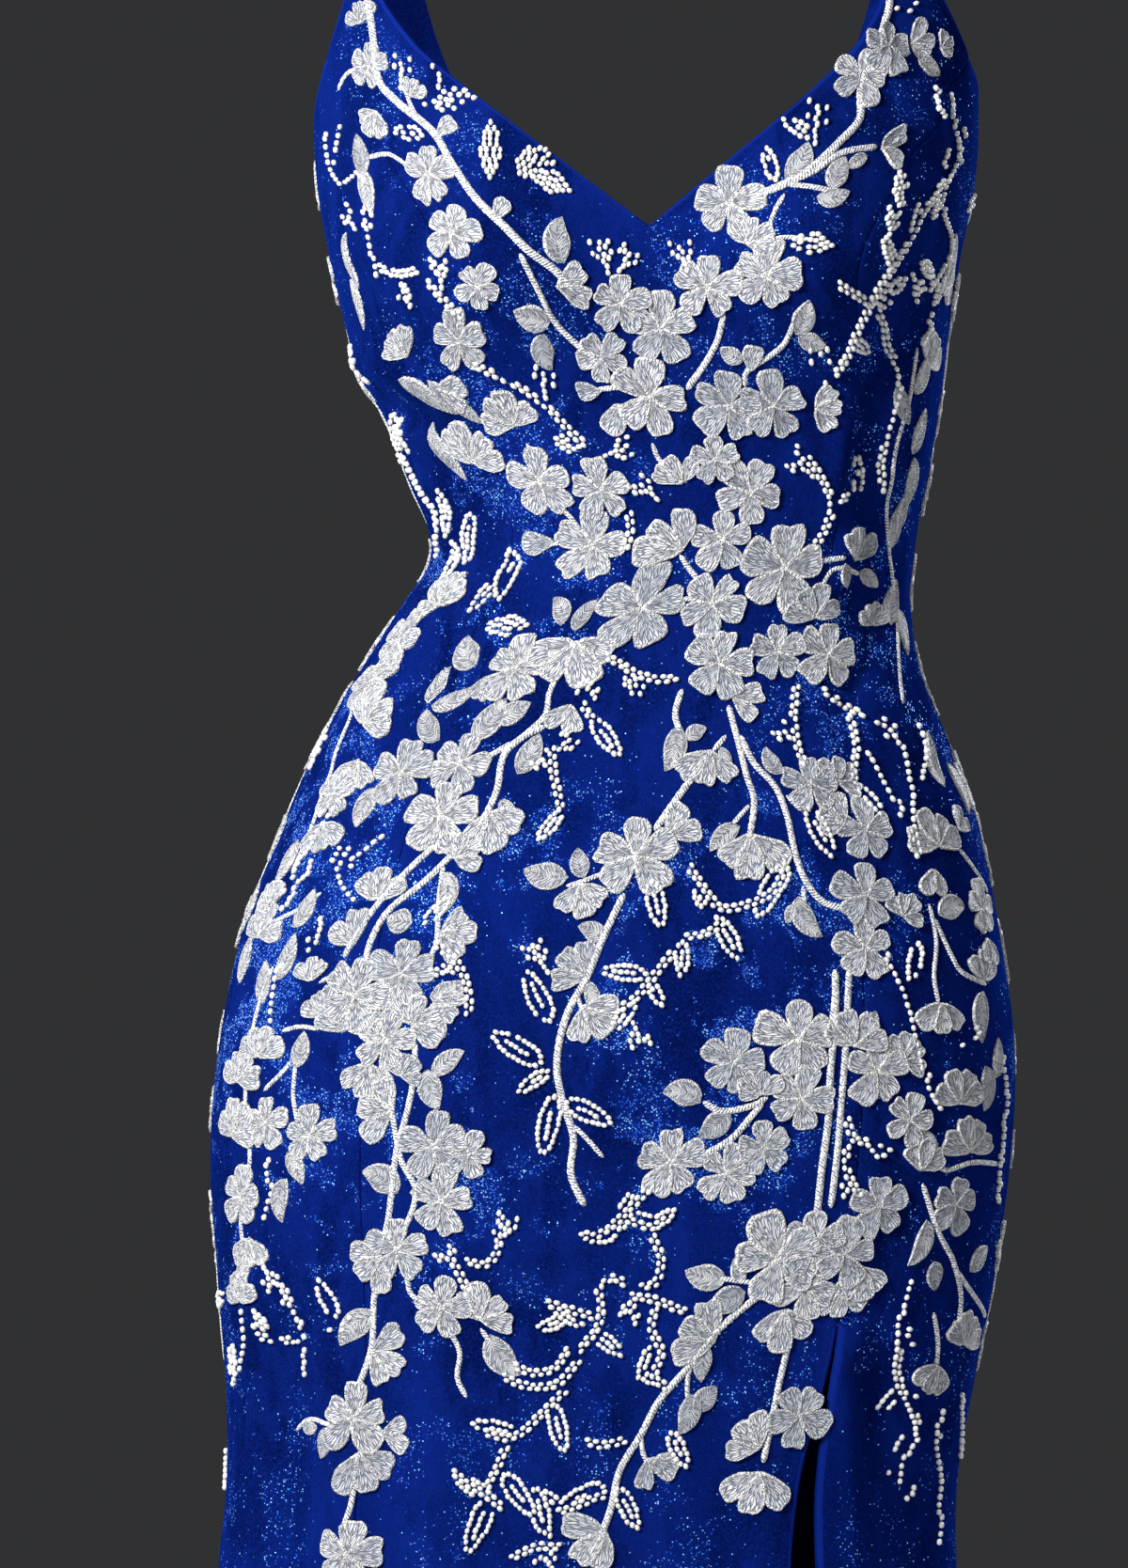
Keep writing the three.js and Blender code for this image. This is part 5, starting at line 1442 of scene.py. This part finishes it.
def strap(side, material):
    """A narrow folded band over the shoulder, rounded off from its plain node."""
    piece = bpy.data.objects.new(f"strap_{side}_band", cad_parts["strap_" + side].data.copy())
    bpy.context.collection.objects.link(piece)
    select_only(piece)
    piece.data.materials.clear()
    piece.data.materials.append(material)
    bpy.ops.object.mode_set(mode="EDIT")
    bpy.ops.mesh.select_all(action="SELECT")
    bpy.ops.mesh.remove_doubles(threshold=1e-5)
    bpy.ops.mesh.tris_convert_to_quads(face_threshold=math.radians(30), shape_threshold=math.radians(60))
    bpy.ops.object.mode_set(mode="OBJECT")
    rounded = {"width": 0.5 * MM, "segments": 2, "limit_method": "ANGLE", "angle_limit": math.radians(55)}
    for kind, settings in (("BEVEL", rounded), ("SUBSURF", {"levels": 2, "render_levels": 2})):
        modifier = piece.modifiers.new(kind.title(), kind)
        for key, value in settings.items():
            setattr(modifier, key, value)
        bpy.ops.object.modifier_apply(modifier=modifier.name)
    bpy.ops.object.shade_smooth()
    return keep(piece, "strap_satin", "strap_" + side)


# ---------------------------------------------------------------- what a user can change

def tint(name, description, default):
    return bpy.props.FloatVectorProperty(
        name=name, description=description, subtype="COLOR", size=3, min=0, max=1, default=default
    )


class DressCloth(bpy.types.PropertyGroup):
    """The gown's satin"""

    colour: tint("Satin", "Colour of the satin", (0.0016, 0.0090, 0.110))
    glitter: bpy.props.FloatProperty(
        name="Glitter", description="How thickly the glitter lies in its patches", default=1.0, min=0, max=2
    )


class DressEmbroidery(bpy.types.PropertyGroup):
    """The silver embroidery and its beads"""

    colour: tint("Thread", "Colour of the silver-white thread", (0.92, 0.92, 0.91))
    relief: bpy.props.FloatProperty(
        name="Relief", description="How high the motifs stand, as a share of the usual",
        default=1.0, min=0.3, max=2,
    )
    bead: bpy.props.FloatProperty(
        name="Bead", description="Diameter of the seed beads", default=0.0026, min=0.002, max=0.005,
        subtype="DISTANCE", unit="LENGTH", precision=4,
    )


class DressStage(bpy.types.PropertyGroup):
    """The light round the gown"""

    key: bpy.props.FloatProperty(
        name="Key light", description="Power of the main light", default=98, min=0, unit="POWER"
    )
    level: bpy.props.FloatProperty(
        name="Surroundings", description="Brightness of the surroundings", default=0.035, min=0, max=2
    )
    ceiling: bpy.props.FloatProperty(
        name="Ceiling light", description="Strength of the even light from above", default=1.0, min=0, max=10
    )


# ---------------------------------------------------------------- operators

def front_and_back(make, name, finish, threads, seed):
    """Makes one kind of motif as two pieces, for the front and for the back."""
    works = {"front": Needlework(), "back": Needlework()}
    work_of = lambda angle: works["front" if facing(angle) else "back"]
    make(work_of, np.random.default_rng(seed), threads.relief)
    material = finish(threads.colour)
    for half, work in works.items():
        work.piece(f"{name}_{half}", material, "silver_thread")


class DRESS_OT_gores(bpy.types.Operator):
    """Cuts the front, the four side gores and the two back gores"""

    bl_idname, bl_label = "dress.gores", "Gores"

    def execute(self, context):
        cloth = context.scene.dress_cloth
        satin = royal_satin("royal_blue_satin", cloth.colour, cloth.glitter)
        grids = {"front": [half_grid("front", "right"), half_grid("front", "left")]}
        for side in ("right", "left"):
            grids["side_front_" + side] = [side_grid("front", side)]
            grids["side_back_" + side] = [side_grid("back", side)]
            grids["back_" + side] = [half_grid("back", side)]
        for name, parts in grids.items():
            gore = keep(shell(name + "_cloth", parts, satin, -THICK), "satin", name)
        return {"FINISHED"}


class DRESS_OT_straps(bpy.types.Operator):
    """Rounds off the two shoulder straps"""

    bl_idname, bl_label = "dress.straps", "Straps"

    def execute(self, context):
        satin = royal_satin("plain_strap_satin", context.scene.dress_cloth.colour, 0)
        for side in ("right", "left"):
            band = strap(side, satin)
        return {"FINISHED"}


class DRESS_OT_zip(bpy.types.Operator):
    """Lays the zip's tape and coil, and finishes its slider and pull tab"""

    bl_idname, bl_label = "dress.zip", "Zip"

    def execute(self, context):
        colour = context.scene.dress_cloth.colour
        metal = enamel(shaded(colour, 1.1))
        band = keep(tape(woven_tape(shaded(colour, 0.6))), "zip_tape", "zip_tape")
        coil(metal)
        for name in ("zip_slider", "zip_pull"):
            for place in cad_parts[name].material_slots:
                place.material = metal
        return {"FINISHED"}


class DRESS_OT_vines(bpy.types.Operator):
    """Couches the cords of the vines and stems"""

    bl_idname, bl_label = "dress.vines", "Vines"

    def execute(self, context):
        front_and_back(cords, "vines", twisted_cord, context.scene.dress_embroidery, SEED + 1)
        return {"FINISHED"}


class DRESS_OT_leaves(bpy.types.Operator):
    """Fills the leaves with slanting stitches"""

    bl_idname, bl_label = "dress.leaves", "Leaves"

    def execute(self, context):
        stitches = lambda colour: silver_thread("silver_leaf_stitches", colour)
        front_and_back(leaves, "leaves", stitches, context.scene.dress_embroidery, SEED + 2)
        return {"FINISHED"}


class DRESS_OT_blossoms(bpy.types.Operator):
    """Fills the blossoms' petals with stitches that fan out from their hearts"""

    bl_idname, bl_label = "dress.blossoms", "Blossoms"

    def execute(self, context):
        threads, rng = context.scene.dress_embroidery, np.random.default_rng(SEED + 3)
        fill = silver_thread("silver_petal_stitches", threads.colour)
        for half in ("front", "back"):
            work = Needlework()
            rows = [row for row in layout()["blooms"] if facing(row[0]) == (half == "front")]
            blossoms(work, rows, rng, threads.relief)
            work.piece("blossoms_" + half, fill, "silver_thread")
        return {"FINISHED"}


class DRESS_OT_beads(bpy.types.Operator):
    """Sews on the chains and sprays of seed beads"""

    bl_idname, bl_label = "dress.beads", "Beads"

    def execute(self, context):
        threads, rng = context.scene.dress_embroidery, np.random.default_rng(SEED + 4)
        radius = threads.bead / MM / 2
        places = bead_places(rng, radius * 2.1)
        material = pearl_bead(threads.colour)
        for half, chosen in (("front", facing(places[:, 0])), ("back", ~facing(places[:, 0]))):
            work = Needlework()
            beads(work, places[chosen], radius, rng)
            work.piece("beads_" + half, material, "pearl_beads")
        return {"FINISHED"}


FLOOR_RADIUS = 16
PLASTER = (0.52, 0.52, 0.53), (0.56, 0.56, 0.56)
SKY = (0.86, 0.88, 0.92, 1)
MIDDLE = (-0.03, 0, -0.45)

# Soft lights: name, place, size, power as a share of the key light's, and colour
SOFTBOXES = (
    ("key_softbox", (-1.35, -1.75, 0.55), 0.7, 1.0, (1.0, 0.985, 0.96)),
    ("fill_softbox", (1.8, -1.9, -0.4), 1.4, 0.045, (0.88, 0.92, 1.0)),
    ("back_softbox", (1.5, 1.9, 0.5), 1.2, 0.55, (0.95, 0.97, 1.0)),
    ("side_softbox", (-1.9, 1.5, 0.1), 1.2, 0.25, (0.95, 0.97, 1.0)),
)
CAMERA_AWAY, FRAME_HEIGHT, FRAME_X, FRAME_Z, SENSOR = 9.0, 0.7072, -0.038, -0.477, 36


def aimed(piece, place, target):
    """Stands a light or a camera at a place and turns it to its target."""
    piece.location = place
    piece.rotation_euler = (Vector(target) - Vector(place)).to_track_quat("-Z", "Y").to_euler()


def lamp(kind, name, power, **settings):
    """Adds a light."""
    bpy.ops.object.light_add(type=kind)
    piece = bpy.context.object
    piece.name = piece.data.name = name
    piece.data.energy = power
    for key, value in settings.items():
        setattr(piece.data, key, value)
    return piece


class DRESS_OT_stage(bpy.types.Operator):
    """Sets the pale floor, the soft lights and the camera"""

    bl_idname, bl_label = "dress.stage", "Stage"

    def execute(self, context):
        scene = context.scene
        bpy.ops.mesh.primitive_circle_add(vertices=128, radius=FLOOR_RADIUS, fill_type="NGON")
        floor = bpy.context.object
        floor.name = "pale_floor"
        floor.location.z = CAD_BOX[0][2] - 0.001
        bpy.ops.object.transform_apply(location=True)
        plaster = Paint("pale_floor_plaster", Roughness=0.85)
        plaster.finish(Base_Color=plaster.mix(plaster.noise(3, 3), *PLASTER))
        floor.data.materials.append(plaster.material)

        light = scene.dress_stage
        for name, place, size, share, colour in SOFTBOXES:
            aimed(lamp("AREA", name, light.key * share, shape="DISK", size=size, color=colour), place, MIDDLE)
        lamp("SUN", "even_ceiling_light", light.ceiling, angle=math.radians(120)).location.z = 3
        world = bpy.data.worlds.new("pale_surroundings")
        world.use_nodes = True
        sky = world.node_tree.nodes["Background"]
        sky.inputs["Color"].default_value = SKY
        sky.inputs["Strength"].default_value = light.level
        scene.world = world

        bpy.ops.object.camera_add()
        camera = bpy.context.object
        camera.name = "front_camera"
        camera.data.sensor_fit, camera.data.sensor_height = "VERTICAL", SENSOR
        camera.data.lens = SENSOR * CAMERA_AWAY / FRAME_HEIGHT
        aimed(camera, (FRAME_X, -CAMERA_AWAY, FRAME_Z), (FRAME_X, 0, FRAME_Z))
        scene.camera = camera
        scene.view_settings.view_transform = "Standard"
        return {"FINISHED"}


class DRESS_PT_panel(bpy.types.Panel):
    """The gown's settings and the steps that make it"""

    bl_idname, bl_label = "DRESS_PT_panel", "Mermaid Evening Dress"
    bl_space_type, bl_region_type, bl_category = "VIEW_3D", "UI", "Dress"

    def draw(self, context):
        for group in GROUPS:
            settings = getattr(context.scene, group)
            for name in settings.__annotations__:
                self.layout.prop(settings, name)
        for step in STEPS:
            self.layout.operator(step.bl_idname)


GROUPS = {"dress_cloth": DressCloth, "dress_embroidery": DressEmbroidery, "dress_stage": DressStage}
STEPS = (
    DRESS_OT_gores, DRESS_OT_straps, DRESS_OT_zip, DRESS_OT_vines, DRESS_OT_leaves, DRESS_OT_blossoms,
    DRESS_OT_beads, DRESS_OT_stage,
)


def register():
    for kind in (*GROUPS.values(), *STEPS, DRESS_PT_panel):
        bpy.utils.register_class(kind)
    for name, group in GROUPS.items():
        setattr(bpy.types.Scene, name, bpy.props.PointerProperty(type=group))


def unregister():
    for name in GROUPS:
        delattr(bpy.types.Scene, name)
    for kind in (DRESS_PT_panel, *reversed(STEPS), *GROUPS.values()):
        bpy.utils.unregister_class(kind)


def main():
    register()
    for step in STEPS:
        clear_selection()
        getattr(bpy.ops.dress, step.bl_idname.split(".")[1])()


if __name__ == "__main__":
    main()
